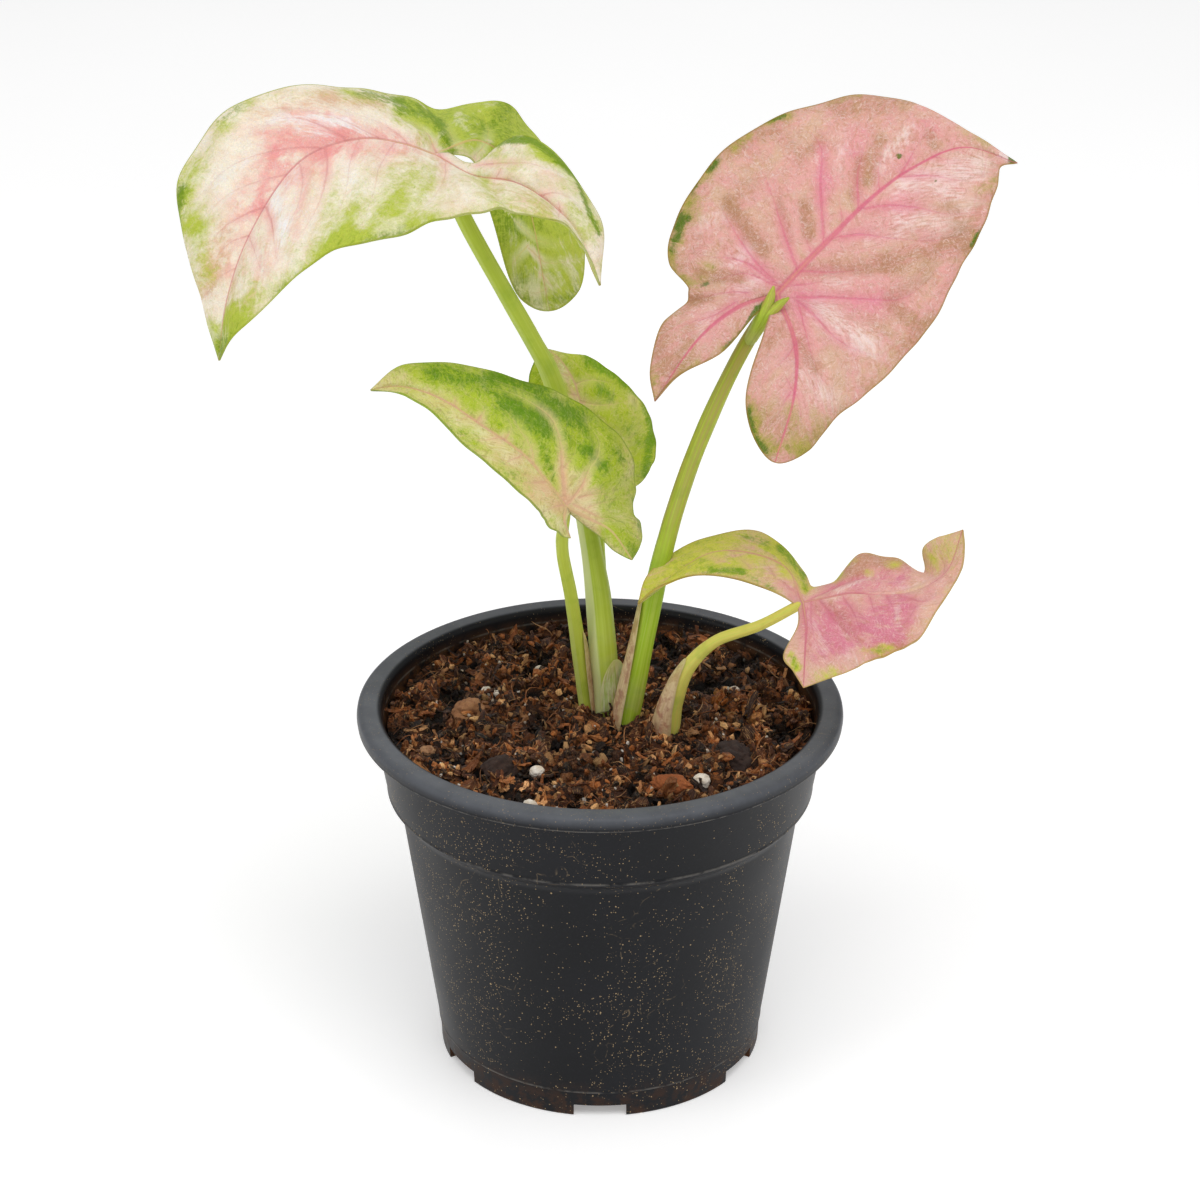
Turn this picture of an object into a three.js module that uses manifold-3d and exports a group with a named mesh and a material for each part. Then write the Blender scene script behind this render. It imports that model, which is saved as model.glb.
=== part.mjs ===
// Potted pink syngonium: five arrow-shaped leaves on clasping stalks, in a 12 cm round nursery pot
// filled with coarse potting mix. Millimetres, +Z up. The origin is on the pot's axis, on the
// surface that it stands on, and the plant's front faces -Y.
import * as THREE from 'three';
import { mergeVertices } from 'three/addons/utils/BufferGeometryUtils.js';
import Module from 'manifold-3d';

const wasm = await Module();
wasm.setup();

// Driving dimensions
const potHeight = 95;
const rimRadius = 60;
const rimBead = 6.2; // width of the rolled rim, seen from above
const rimDepth = 4; // height of the rolled rim
const collarTopRadius = 55.7;
const collarFootRadius = 52.9;
const collarFootHeight = 72.7;
const bodyTopRadius = 49.9;
const bodyFootRadius = 41.3;
const footRingHeight = 7.3;
const footRadius = 40.8;
const wall = 1.5;
const floorHeight = 5.5; // underside of the floor, raised inside the foot ring
const drainCount = 6;
const drainWidth = 13;
const drainHeight = 3.2;
const drainDepth = 12; // how far each drain slot reaches in under the floor
const potSides = 64;
const mixLevel = 89.5; // height of the mix at the wall
const moundHeight = 3.2; // how much the mix rises round the stems
const mixLump = 1.5; // height of its lumps
const gap = 0.3; // clearance between neighbouring pieces
const bladeThickness = 0.7;
const bladeRings = 3; // rows of faces between a vein and the margin
const bladeSteps = 3; // faces between two margin points
const bellyReach = 20; // a blade wider than this has its full belly
const normalRounds = 6;

// The leaves are laid out in a plane that leans back from the front by this angle, through a
// point on the pot's axis: [across, up, toward] in millimetres, toward being out to the front.
const leanBack = THREE.MathUtils.degToRad(25.56);
const layoutCentre = new THREE.Vector3(0, 0, 122.3);
const upAxis = new THREE.Vector3(0, Math.sin(leanBack), Math.cos(leanBack));
const towardAxis = new THREE.Vector3(0, -Math.cos(leanBack), Math.sin(leanBack));

function place([across, up, toward]) {
  return layoutCentre.clone()
    .add(new THREE.Vector3(across, 0, 0))
    .addScaledVector(upAxis, up)
    .addScaledVector(towardAxis, toward);
}

// Seeded random numbers, the same on every run
function seededRandom(seed) {
  let state = seed;
  return () => {
    state = (state * 16807) % 2147483647;
    return state / 2147483647;
  };
}

// Solids in and out of the boolean kernel
function weld(geometry) {
  geometry.deleteAttribute('normal');
  geometry.deleteAttribute('uv');
  return mergeVertices(geometry, 1e-4);
}

function toSolid(geometry) {
  const welded = weld(geometry);
  const solid = new wasm.Manifold(new wasm.Mesh({
    numProp: 3,
    vertProperties: new Float32Array(welded.attributes.position.array),
    triVerts: new Uint32Array(welded.index.array),
  }));
  return solid;
}

function toGeometry(solid) {
  const mesh = solid.getMesh();
  const geometry = new THREE.BufferGeometry();
  geometry.setAttribute('position', new THREE.BufferAttribute(new Float32Array(mesh.vertProperties), 3));
  geometry.setIndex(new THREE.BufferAttribute(new Uint32Array(mesh.triVerts), 1));
  return geometry;
}

function largestBody(solid) {
  return solid.decompose().sort((a, b) => b.volume() - a.volume())[0];
}

function fromLists(points, triangles) {
  const geometry = new THREE.BufferGeometry();
  const flat = points.flatMap((p) => [p.x, p.y, p.z]);
  geometry.setAttribute('position', new THREE.Float32BufferAttribute(flat, 3));
  geometry.setIndex(triangles.flat());
  return geometry;
}

// Nursery pot: a lathe-turned thin wall with a rolled rim, a collar, and a foot ring cut by drains
function revolve(profile, sides) {
  const points = profile.map(([radius, height]) => new THREE.Vector2(radius, height));
  const geometry = new THREE.LatheGeometry(points, sides);
  geometry.rotateX(Math.PI / 2);
  return geometry;
}

function nurseryPot() {
  const rimInner = rimRadius - rimBead;
  const floorTop = floorHeight + wall;
  const profile = [
    [0, floorHeight],
    [footRadius - wall - 1.2, floorHeight],
    [footRadius - wall - 0.6, 0],
    [footRadius, 0],
    [footRadius + 0.3, footRingHeight - 0.3],
    [bodyFootRadius, footRingHeight + 0.3],
    [bodyTopRadius, collarFootHeight - 3.2],
    [bodyTopRadius + 1.1, collarFootHeight - 1.6],
    [collarFootRadius, collarFootHeight + 0.8],
    [collarTopRadius, potHeight - rimDepth - 1],
    [rimRadius - 0.8, potHeight - rimDepth],
    [rimRadius, potHeight - rimDepth + 1.6],
    [rimRadius - 0.1, potHeight - 1],
    [rimRadius - 0.9, potHeight - 0.1],
    [rimRadius - 2, potHeight],
    [rimInner + 0.9, potHeight - 0.2],
    [rimInner, potHeight - 1],
    [collarTopRadius - wall - 1, potHeight - rimDepth - 2],
    [collarFootRadius - wall, collarFootHeight + 0.4],
    [bodyTopRadius - wall, collarFootHeight - 3.2],
    [bodyFootRadius - wall, floorTop + 1],
    [bodyFootRadius - wall - 1, floorTop],
    [0, floorTop],
  ];
  let pot = toSolid(revolve(profile, potSides));
  for (let i = 0; i < drainCount; i += 1) {
    const angle = -Math.PI / 2 + (i * 2 * Math.PI) / drainCount;
    // A notch through the foot ring, and a slot up through the floor just inside it
    const notch = new THREE.BoxGeometry(8, drainWidth, 2 * drainHeight);
    notch.translate(footRadius - 1, 0, 0);
    notch.rotateZ(angle);
    const slot = new THREE.BoxGeometry(drainDepth, drainWidth * 0.7, 6);
    slot.translate(footRadius - wall - 2.5 - drainDepth / 2, 0, floorHeight + wall / 2);
    slot.rotateZ(angle);
    pot = pot.subtract(toSolid(notch)).subtract(toSolid(slot));
  }
  return pot;
}

// Leaves. Each has a joint where the stalk meets it, a midrib to the tip, and a basal lobe on
// either side with a vein of its own. The margin of a side runs from the notch between the lobes
// out along the lobe's inner edge to its tip, back along the outer edge, across the shoulder, and
// along the blade to the leaf's tip.
const lobeFeet = [0.3, 0.62, 0.88]; // where the margin's points are carried on a lobe's vein
const bladeFeet = [0.15, 0.35, 0.58, 0.8, 0.93]; // and on the midrib

const largeLeftLeaf = {
  joint: [-38.3, 102.3, 45.5],
  midrib: [[-44, 104, 49], [-54, 105, 52], [-67, 99.5, 58], [-78, 82, 66], [-83, 66.5, 69]],
  tip: [-85, 53.5, 66],
  notch: [-33.8, 102.6, 44],
  sides: [
    {
      vein: [[-29.5, 97, 50], [-18, 94, 56], [-6, 84, 60]],
      inner: [[-29.5, 100, 47], [-17.5, 106, 48], [-0.5, 88.5, 52]],
      lobeTip: [0, 71, 58],
      outer: [[-2.5, 77, 62], [-8.5, 84, 66], [-17.5, 86, 68]],
      shoulder: [[-24.5, 86.5, 69], [-33.5, 85, 70]],
      blade: [[-43.5, 81, 72], [-56.5, 78, 74], [-66, 72, 76], [-76, 62.5, 75], [-81.5, 58, 72]],
      belly: 3,
    },
    {
      vein: [[-28.5, 107, 36], [-19, 100, 17]],
      inner: [[-29.5, 102, 36], [-26.5, 93, 27], [-18.5, 71, 24]],
      lobeTip: [-12, 68.5, 20],
      outer: [[-5, 74, 15], [-6, 97, 4], [-16, 112.5, 8]],
      shoulder: [[-25, 118.5, 18], [-38.5, 115.5, 27]],
      blade: [[-49.5, 118, 34], [-64, 118.5, 42], [-85, 111.5, 51], [-95, 96, 54], [-91.9, 75.8, 61]],
      belly: 2,
      rounded: true,
    },
  ],
};

const middleLeaf = {
  joint: [-8, 22, 28],
  midrib: [[-13, 28.5, 32], [-18, 34, 35], [-27.5, 40.5, 39], [-37, 46.5, 43], [-46, 49, 46]],
  tip: [-52.5, 48, 48],
  notch: [-7, 20.5, 26],
  sides: [
    {
      vein: [[-8.5, 19, 29], [-8, 17, 29]],
      inner: [[-7.5, 19.5, 28], [-8, 18, 28], [-7.5, 16, 27]],
      lobeTip: [-7, 14.5, 28],
      outer: [[-9, 15, 30], [-10, 16, 32], [-12, 17, 34]],
      shoulder: [[-13, 19, 35], [-14.5, 21, 37]],
      blade: [[-18.5, 25, 40], [-25, 30.5, 43], [-32, 36.5, 46], [-38.5, 43, 48], [-45, 47, 49]],
      belly: 1,
    },
    {
      vein: [[-2, 19, 26], [2.5, 16.5, 24]],
      inner: [[-4, 18, 25], [0, 15, 23], [3, 12, 22]],
      lobeTip: [7.5, 9.5, 20],
      outer: [[9.5, 13.5, 16], [9.5, 18.5, 15], [7.5, 21.5, 15]],
      shoulder: [[8.5, 27, 15], [7, 35, 17]],
      blade: [[1.5, 42, 20], [-8.5, 48, 26], [-20, 52, 31], [-33.5, 54.5, 38], [-45.5, 54, 43]],
      belly: 2.5,
    },
  ],
};

const largeRightLeaf = {
  joint: [41, 71, 38],
  midrib: [[48.5, 79, 37], [54, 84.5, 36], [62, 92.5, 35], [72.5, 100.5, 33], [84.5, 105.3, 35]],
  tip: [97, 101.5, 36],
  notch: [40.5, 69.5, 38],
  sides: [
    {
      vein: [[45, 58.5, 43], [44.5, 47, 46]],
      inner: [[37.5, 61, 44], [33.5, 47, 47], [35, 37.5, 48]],
      lobeTip: [40, 31.5, 47],
      outer: [[48, 34.5, 44], [53.5, 41.5, 42], [61.5, 47.5, 40]],
      shoulder: [[70.5, 56.5, 37], [77, 64, 35]],
      blade: [[82, 73.5, 33], [86.5, 81.5, 32], [90.2, 89.7, 34], [92.4, 96.4, 35], [93.1, 100.7, 35.5]],
      belly: 2,
      rounded: true,
    },
    {
      vein: [[32.5, 68, 41], [23.5, 61, 44]],
      inner: [[36, 66, 41], [28, 57, 44], [17.5, 51, 47]],
      lobeTip: [12.5, 45.5, 47],
      outer: [[11.5, 52.5, 46], [14.5, 63.5, 43], [20, 69, 40]],
      shoulder: [[20.5, 72, 39], [16, 78.5, 36]],
      blade: [[18, 89, 32], [27, 103.5, 28], [44, 114.5, 25], [61, 119, 24], [78.5, 113.8, 30]],
      belly: 2,
    },
  ],
};

const curledLeaf = {
  joint: [48, -0.5, 24],
  midrib: [[53, 0.5, 27], [58.5, 1.5, 29], [65.5, 1, 31], [73.5, 2, 32], [81, 6.5, 31]],
  tip: [85.5, 16.5, 26],
  notch: [47, -1.5, 22],
  sides: [
    {
      vein: [[48.5, -6, 28], [48, -11.5, 31]],
      inner: [[46.5, -6, 27], [43, -13.5, 30], [45, -16.5, 32]],
      lobeTip: [47.5, -20.5, 32],
      outer: [[52.5, -18.5, 34], [58, -16.5, 36], [62, -14.5, 37]],
      shoulder: [[66, -13, 37], [71, -11, 37]],
      blade: [[74.5, -8.5, 37], [78, -3, 36], [82, 3, 35], [84.5, 7.5, 33], [85.5, 13, 29]],
      belly: 1.5,
    },
    {
      vein: [[44, 8, 19], [27.5, 11.5, 17]],
      inner: [[39.5, 2.5, 23], [23.5, 6, 22], [13, 2.5, 21]],
      lobeTip: [9, -1, 18],
      outer: [[11.5, 6, 15], [24, 14.5, 11], [38.5, 16, 12]],
      shoulder: [[48, 8, 14], [50.5, 3, 18]],
      blade: [[56.5, 5, 16], [62, 10.5, 14], [70.5, 10, 15], [77, 6, 18], [77, 12.5, 18]],
      belly: 1,
    },
  ],
};

const backLeaf = {
  joint: [0, 31.5, 2],
  midrib: [[-1, 36.5, 4], [-2.5, 42, 6], [-4.5, 47, 8], [-6.5, 53, 10], [-9.5, 57.5, 12]],
  tip: [-12.5, 60, 13],
  notch: [0.5, 29.5, 1],
  sides: [
    {
      vein: [[-1.5, 29, 3], [-3.5, 26, 4]],
      inner: [[-1, 28, 2], [-2, 25.5, 3], [-3.5, 23.5, 3]],
      lobeTip: [-5.5, 22.5, 4],
      outer: [[-8.5, 24, 5], [-11, 28, 6], [-12, 31.5, 7]],
      shoulder: [[-14, 36, 8], [-15.5, 41, 9]],
      blade: [[-16.5, 45, 10], [-17, 50, 11], [-17, 53.5, 12], [-16, 56.5, 13], [-14.5, 59, 13]],
      belly: 1.5,
    },
    {
      vein: [[3, 30, 0], [5, 29, -2]],
      inner: [[2.5, 28.5, 0], [4.5, 27.5, -2], [6.5, 27, -3]],
      lobeTip: [8, 27.5, -4],
      outer: [[10, 29, -5], [11.5, 31, -5], [13, 34, -4]],
      shoulder: [[13.5, 39, -3], [12, 44.5, -1]],
      blade: [[9.5, 49, 2], [5.5, 53, 4], [1.5, 56, 7], [-3, 58.5, 9], [-8, 59, 11]],
      belly: 1.5,
    },
  ],
};

function smooth(points) {
  return new THREE.CatmullRomCurve3(points, false, 'centripetal');
}

// Points along one side's margin, each with its foot on the vein that carries it
function marginSpokes(leaf, side) {
  const joint = place(leaf.joint);
  const tip = place(leaf.tip);
  const lobeTip = place(side.lobeTip);
  const midrib = smooth([joint, ...leaf.midrib.map(place), tip]);
  const lobeVein = smooth([joint, ...side.vein.map(place), lobeTip]);
  const out = [place(leaf.notch), ...side.inner.map(place), lobeTip];
  const back = [...[...side.outer, ...side.shoulder, ...side.blade].map(place), tip];
  const feet = [0, ...lobeFeet, 1, ...[...lobeFeet].reverse(), 0, 0, ...bladeFeet, 1];
  const spans = feet.length - 1;
  const lobeEnd = out.length - 1;
  const lobeReturn = lobeEnd + lobeFeet.length + 1;
  const whole = smooth([...out, ...back]);
  const outward = smooth(out);
  const homeward = smooth([lobeTip, ...back]);
  const edgeAt = (where) => {
    if (side.rounded) return whole.getPoint(where / spans);
    if (where < lobeEnd) return outward.getPoint(where / lobeEnd);
    return homeward.getPoint((where - lobeEnd) / (spans - lobeEnd));
  };
  const spokes = [];
  for (let i = 0; i < spans; i += 1) {
    const vein = i < lobeReturn ? lobeVein : midrib;
    for (let j = 0; j < bladeSteps; j += 1) {
      const step = j / bladeSteps;
      const foot = vein.getPoint(THREE.MathUtils.lerp(feet[i], feet[i + 1], step));
      spokes.push({ foot, edge: edgeAt(i + step) });
    }
  }
  spokes.push({ foot: tip, edge: tip });
  return spokes;
}

// Unit normals at the points of a sheet, evened out between neighbours so that both faces of a
// thin blade stay apart where it is narrow
function sheetNormals(points, triangles) {
  let normals = points.map(() => new THREE.Vector3());
  triangles.forEach((tri) => {
    const [a, b, c] = tri.map((i) => points[i]);
    const normal = b.clone().sub(a).cross(c.clone().sub(a));
    tri.forEach((i) => normals[i].add(normal));
  });
  normals.forEach((normal) => normal.normalize());
  for (let round = 0; round < normalRounds; round += 1) {
    const next = normals.map((normal) => normal.clone());
    triangles.forEach((tri) => {
      tri.forEach((i) => tri.forEach((j) => next[i].add(normals[j])));
    });
    next.forEach((normal) => normal.normalize());
    normals = next;
  }
  return normals;
}

// One half of a blade: rows of points from the veins out to the margin, which can be
// moved outward by spread
function halfBlade(leaf, side, spread) {
  return marginSpokes(leaf, side).map(({ foot, edge: margin }, i) => {
    const outward = margin.clone().sub(foot).normalize();
    const edge = margin.clone().addScaledVector(outward, spread);
    const reach = i === 0 ? 0 : Math.min(1, foot.distanceTo(edge) / bellyReach);
    return Array.from({ length: bladeRings + 1 }, (unused, k) => {
      const v = k / bladeRings;
      const bulge = side.belly * reach * 4 * v * (1 - v);
      return foot.clone().lerp(edge, v).addScaledVector(towardAxis, bulge);
    });
  });
}

function leafBlade(leaf, thickness, spread = 0) {
  const points = [];
  const numbers = new Map();
  const triangles = [];
  const margin = [];
  const number = (p) => {
    const key = [p.x, p.y, p.z].map((v) => Math.round(v * 50)).join(',');
    if (!numbers.has(key)) {
      numbers.set(key, points.length);
      points.push(p);
    }
    return numbers.get(key);
  };
  const add = (a, b, c, flip) => {
    if (a !== b && b !== c && c !== a) triangles.push(flip ? [a, c, b] : [a, b, c]);
  };
  leaf.sides.forEach((side, sideIndex) => {
    const flip = sideIndex === 1;
    const rows = halfBlade(leaf, side, spread).map((row) => row.map(number));
    for (let i = 0; i < rows.length - 1; i += 1) {
      for (let k = 0; k < bladeRings; k += 1) {
        add(rows[i][k], rows[i + 1][k], rows[i + 1][k + 1], flip);
        add(rows[i][k], rows[i + 1][k + 1], rows[i][k + 1], flip);
      }
      const ends = [rows[i][bladeRings], rows[i + 1][bladeRings]];
      if (ends[0] !== ends[1]) margin.push(flip ? ends.reverse() : ends);
    }
  });
  const normals = sheetNormals(points, triangles);
  const count = points.length;
  const front = points.map((p, i) => p.clone().addScaledVector(normals[i], thickness / 2));
  const rear = points.map((p, i) => p.clone().addScaledVector(normals[i], -thickness / 2));
  const faces = triangles.flatMap(([a, b, c]) => [[a, b, c], [a + count, c + count, b + count]]);
  margin.forEach(([a, b]) => {
    faces.push([a, b, b + count], [a, b + count, a + count]);
  });
  return fromLists([...front, ...rear], faces);
}

// Stems: a tapered round tube through hand-placed points, [across, up, toward, radius]
function taperedTube(route, sides, steps, grow = 0) {
  const curve = smooth(route.map((p) => place(p)));
  const radii = route.map((p) => p[3] + grow);
  const points = [];
  const triangles = [];
  let side = new THREE.Vector3(1, 0, 0);
  for (let i = 0; i <= steps; i += 1) {
    const t = i / steps;
    const along = curve.getTangent(t);
    const stretch = grow * ((i === steps) - (i === 0));
    const centre = curve.getPoint(t).addScaledVector(along, stretch);
    side = side.clone().addScaledVector(along, -side.dot(along)).normalize();
    const other = along.clone().cross(side);
    const where = t * (radii.length - 1);
    const low = Math.min(Math.floor(where), radii.length - 2);
    const radius = THREE.MathUtils.lerp(radii[low], radii[low + 1], where - low);
    for (let j = 0; j < sides; j += 1) {
      const angle = (j / sides) * 2 * Math.PI;
      points.push(centre.clone()
        .addScaledVector(side, radius * Math.cos(angle))
        .addScaledVector(other, radius * Math.sin(angle)));
    }
  }
  for (let i = 0; i < steps; i += 1) {
    for (let j = 0; j < sides; j += 1) {
      const next = (j + 1) % sides;
      const a = i * sides + j;
      const b = i * sides + next;
      triangles.push([a, b, b + sides], [a, b + sides, a + sides]);
    }
  }
  for (let j = 1; j < sides - 1; j += 1) {
    const top = steps * sides;
    triangles.push([0, j + 1, j], [top, top + j, top + j + 1]);
  }
  return fromLists(points, triangles);
}

const stalks = [
  { // to the middle leaf
    route: [[0, -40.5, -18, 2.3], [-3, -26.5, -12, 2.1], [-7, 1, 10, 1.6], [-9, 13, 21, 1.5],
      [-8, 22, 25.6, 1.3]],
    steps: 11,
  },
  { // to the large left leaf
    route: [[1, -40, -20, 3], [1.5, -22, -9, 3.3], [0.5, -10, -2, 3.4], [-0.5, 1, 2, 3.1],
      [-2.5, 14.5, 6, 2.5], [-6.5, 36, 11, 2.4], [-12, 54, 19, 2.3], [-16, 61.5, 24, 2.1],
      [-22.5, 72.5, 31, 2], [-31, 87.5, 38.5, 1.9], [-37.5, 102.5, 43, 1.4]],
    steps: 22,
  },
  { // to the large right leaf
    route: [[4, -42, -16, 3], [6.5, -28.5, -7, 3.3], [10.5, -9.5, 4, 2.7], [15, 11, 14, 2.3],
      [18.5, 23.5, 19, 2.1], [23.5, 37.5, 26, 2], [32, 56, 33, 1.8], [41.4, 71.5, 35.5, 1.5]],
    steps: 16,
  },
  { // to the curled leaf
    route: [[7.5, -43, -13, 2.8], [15.5, -32.5, -4, 3.4], [17.5, -24.5, 2, 2.7], [21, -16.5, 7, 1.9],
      [27.5, -10, 11, 1.4], [38, -6, 17, 1.3], [48.5, -0.5, 21.8, 1.2]],
    steps: 16,
  },
  { // to the leaf at the back
    route: [[1, -24.5, -14, 1.9], [1, -10, -8, 1.7], [0, 7.5, -5, 1.5], [-0.5, 20.5, -2, 1.4],
      [0, 31.5, -0.3, 1.3]],
    steps: 10,
  },
];
const stalkSides = 9;

const crown = {
  route: [[2, -57, -26, 3.6], [2, -50, -24, 5], [2.5, -42, -19, 5.6], [3, -34, -15, 5], [3, -30, -13, 3.6]],
  steps: 6,
};

const rootCount = 8;
const rootSeed = 11;
const rootRadius = 1.1;

// Roots leave the crown's foot all round and sink outward through the mix
function rootRoutes() {
  const random = seededRandom(rootSeed);
  const crownFoot = place(crown.route[0]);
  return Array.from({ length: rootCount }, (unused, i) => {
    const angle = ((i + 0.5 * random()) / rootCount) * 2 * Math.PI;
    const reach = 20 + 12 * random();
    const depth = 30 + 22 * random();
    return [0, 0.3, 0.65, 1].map((t) => {
      const bend = angle + 0.5 * t * (random() - 0.5);
      return new THREE.Vector3(
        crownFoot.x + Math.cos(bend) * reach * t,
        crownFoot.y + Math.sin(bend) * reach * t,
        crownFoot.z + 1.5 - depth * t * t,
      );
    });
  });
}

function toLayout(p) {
  const offset = p.clone().sub(layoutCentre);
  return [offset.x, offset.dot(upAxis), offset.dot(towardAxis)];
}

function stemsAndRoots(grow) {
  let solid = toSolid(taperedTube(crown.route, stalkSides, crown.steps, grow));
  stalks.forEach(({ route, steps }) => {
    solid = solid.add(toSolid(taperedTube(route, stalkSides, steps, grow)));
  });
  rootRoutes().forEach((points) => {
    const route = points.map((p, i) => [...toLayout(p), rootRadius * (1 - 0.12 * i)]);
    solid = solid.add(toSolid(taperedTube(route, 5, 6, grow)));
  });
  return solid;
}

// Potting mix: fills the pot up to a lumpy surface that rises gently round the stems
function lumps(x, y) {
  const coarse = Math.sin(x * 0.31 + 1.3 * Math.sin(y * 0.23)) * Math.cos(y * 0.29 + 0.7);
  const fine = Math.sin(x * 0.83 + y * 0.37 + 2 * Math.sin(y * 0.41)) * Math.sin(y * 0.71 - x * 0.29);
  return mixLump * (0.55 * coarse + 0.45 * fine);
}

function mixHeight(x, y, edgeRadius) {
  const radius = Math.hypot(x, y);
  const mound = moundHeight * Math.exp(-((x - 4) ** 2 + (y + 8) ** 2) / (2 * 20 ** 2));
  const calm = THREE.MathUtils.smoothstep(edgeRadius - radius, 0, 6);
  return mixLevel + mound + lumps(x, y) * (0.35 + 0.65 * calm);
}

function pottingMix() {
  const sides = potSides;
  const rings = 13;
  const inner = (height) => {
    const share = (height - footRingHeight) / (collarFootHeight - 3.2 - footRingHeight);
    return THREE.MathUtils.lerp(bodyFootRadius, bodyTopRadius, share) - wall - gap;
  };
  const collarShare = (mixLevel - collarFootHeight) / (potHeight - rimDepth - 2 - collarFootHeight);
  const topRadius = THREE.MathUtils.lerp(
    collarFootRadius - wall,
    collarTopRadius - wall - 1,
    collarShare,
  ) - gap - 0.5;
  const wallProfile = [
    [bodyFootRadius - wall - 1 - gap, floorHeight + wall + gap],
    [inner(floorHeight + wall + 2), floorHeight + wall + 2],
    [inner(collarFootHeight - 3.2), collarFootHeight - 3.2],
    [collarFootRadius - wall - gap - 0.2, collarFootHeight + 1.4],
  ];
  const points = [new THREE.Vector3(0, 0, mixHeight(0, 0, topRadius))];
  const triangles = [];
  const ringStart = (ring) => 1 + (ring - 1) * sides;
  const addRing = (radius, height) => {
    for (let j = 0; j < sides; j += 1) {
      const angle = (j / sides) * 2 * Math.PI;
      const x = radius * Math.cos(angle);
      const y = radius * Math.sin(angle);
      points.push(new THREE.Vector3(x, y, height ?? mixHeight(x, y, topRadius)));
    }
  };
  for (let ring = 1; ring <= rings; ring += 1) addRing((topRadius * ring) / rings);
  [...wallProfile].reverse().forEach(([radius, height]) => addRing(radius, height));
  for (let j = 0; j < sides; j += 1) triangles.push([0, 1 + j, 1 + ((j + 1) % sides)]);
  for (let ring = 1; ring < rings + wallProfile.length; ring += 1) {
    for (let j = 0; j < sides; j += 1) {
      const next = (j + 1) % sides;
      const a = ringStart(ring) + j;
      const b = ringStart(ring) + next;
      triangles.push([a, a + sides, b + sides], [a, b + sides, b]);
    }
  }
  const last = ringStart(rings + wallProfile.length);
  for (let j = 1; j < sides - 1; j += 1) triangles.push([last, last + j + 1, last + j]);
  return fromLists(points, triangles);
}

// Bark chunks and perlite grains: lumpy stones half sunk in the mix.
// [x, y, width, depth, height, turn in degrees]
const barkChunks = [
  [-32.3, 0.3, 9, 8, 7, 20],
  [-24, -27.5, 10, 8, 6, 65],
  [32, -21.5, 11, 9, 7, 110],
  [17, -37, 9.5, 5, 5, 170],
  [-42, -17.5, 4, 3.6, 3.4, 10],
];
const perliteGrains = [
  [24, -34.5, 4.6, 4.2, 4],
  [-15, -30.5, 3.8, 3, 3],
  [-16.5, -45, 3.8, 3, 3],
  [-25, 11.5, 3.2, 2.8, 2.6],
  [-28.5, 14.5, 2.8, 2.4, 2.4],
  [33.5, 13.5, 3.4, 2.8, 2.6],
  [36, 6, 3, 2.6, 2.6],
  [-15.5, 28, 2.8, 2.4, 2.4],
];

function stone([x, y, width, depth, height, turn = 0], seed, grow, detail) {
  const random = seededRandom(seed);
  const ball = weld(new THREE.IcosahedronGeometry(0.5, detail));
  const spot = ball.attributes.position;
  for (let i = 0; i < spot.count; i += 1) {
    const bump = 0.82 + 0.3 * random();
    spot.setXYZ(i, spot.getX(i) * bump, spot.getY(i) * bump, spot.getZ(i) * bump);
  }
  ball.scale(width + 2 * grow, depth + 2 * grow, height + 2 * grow);
  ball.rotateZ(THREE.MathUtils.degToRad(turn));
  ball.translate(x, y, mixHeight(x, y, rimRadius) + height * 0.12);
  return ball;
}

// Materials
const potPlastic = new THREE.MeshStandardMaterial({ color: 0x23262b, roughness: 0.5, metalness: 0 });
const mixBrown = new THREE.MeshStandardMaterial({ color: 0x3a2216, roughness: 0.95, metalness: 0 });
const stalkGreen = new THREE.MeshStandardMaterial({ color: 0x86ad33, roughness: 0.45, metalness: 0 });
const creamPinkLeaf = new THREE.MeshStandardMaterial({ color: 0xe2d3b4, roughness: 0.5, metalness: 0 });
const mottledGreenLeaf = new THREE.MeshStandardMaterial({ color: 0xa9bf79, roughness: 0.5, metalness: 0 });
const dustyPinkLeaf = new THREE.MeshStandardMaterial({ color: 0xd9a49b, roughness: 0.5, metalness: 0 });
const rosePinkLeaf = new THREE.MeshStandardMaterial({ color: 0xd79aa2, roughness: 0.5, metalness: 0 });
const barkTan = new THREE.MeshStandardMaterial({ color: 0x6b4530, roughness: 0.9, metalness: 0 });
const perliteWhite = new THREE.MeshStandardMaterial({ color: 0xe6ded4, roughness: 0.9, metalness: 0 });

const plant = new THREE.Group();

function addPiece(name, geometry, material) {
  const mesh = new THREE.Mesh(geometry, material);
  mesh.name = name;
  plant.add(mesh);
}

// Leaf blades
const blades = [
  ['leaf_blade_large_left', largeLeftLeaf, creamPinkLeaf],
  ['leaf_blade_middle', middleLeaf, mottledGreenLeaf],
  ['leaf_blade_large_right', largeRightLeaf, dustyPinkLeaf],
  ['leaf_blade_curled_right', curledLeaf, rosePinkLeaf],
  ['leaf_blade_back', backLeaf, mottledGreenLeaf],
];
blades.forEach(([name, leaf, material]) => addPiece(name, leafBlade(leaf, bladeThickness), material));

// Stones, each with a slightly larger copy of itself that hollows its socket in the mix
const stones = [
  ...barkChunks.map((size, i) => ({ name: `bark_chunk_${i + 1}`, size, seed: 100 + i, material: barkTan })),
  ...perliteGrains.map((size, i) => ({
    name: `perlite_grain_${i + 1}`, size, seed: 200 + i, material: perliteWhite,
  })),
];
let sockets = stemsAndRoots(gap);
stones.forEach(({ name, size, seed, material }) => {
  addPiece(name, stone(size, seed, 0, 1), material);
  sockets = sockets.add(toSolid(stone(size, seed, gap, 1)));
});

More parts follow.
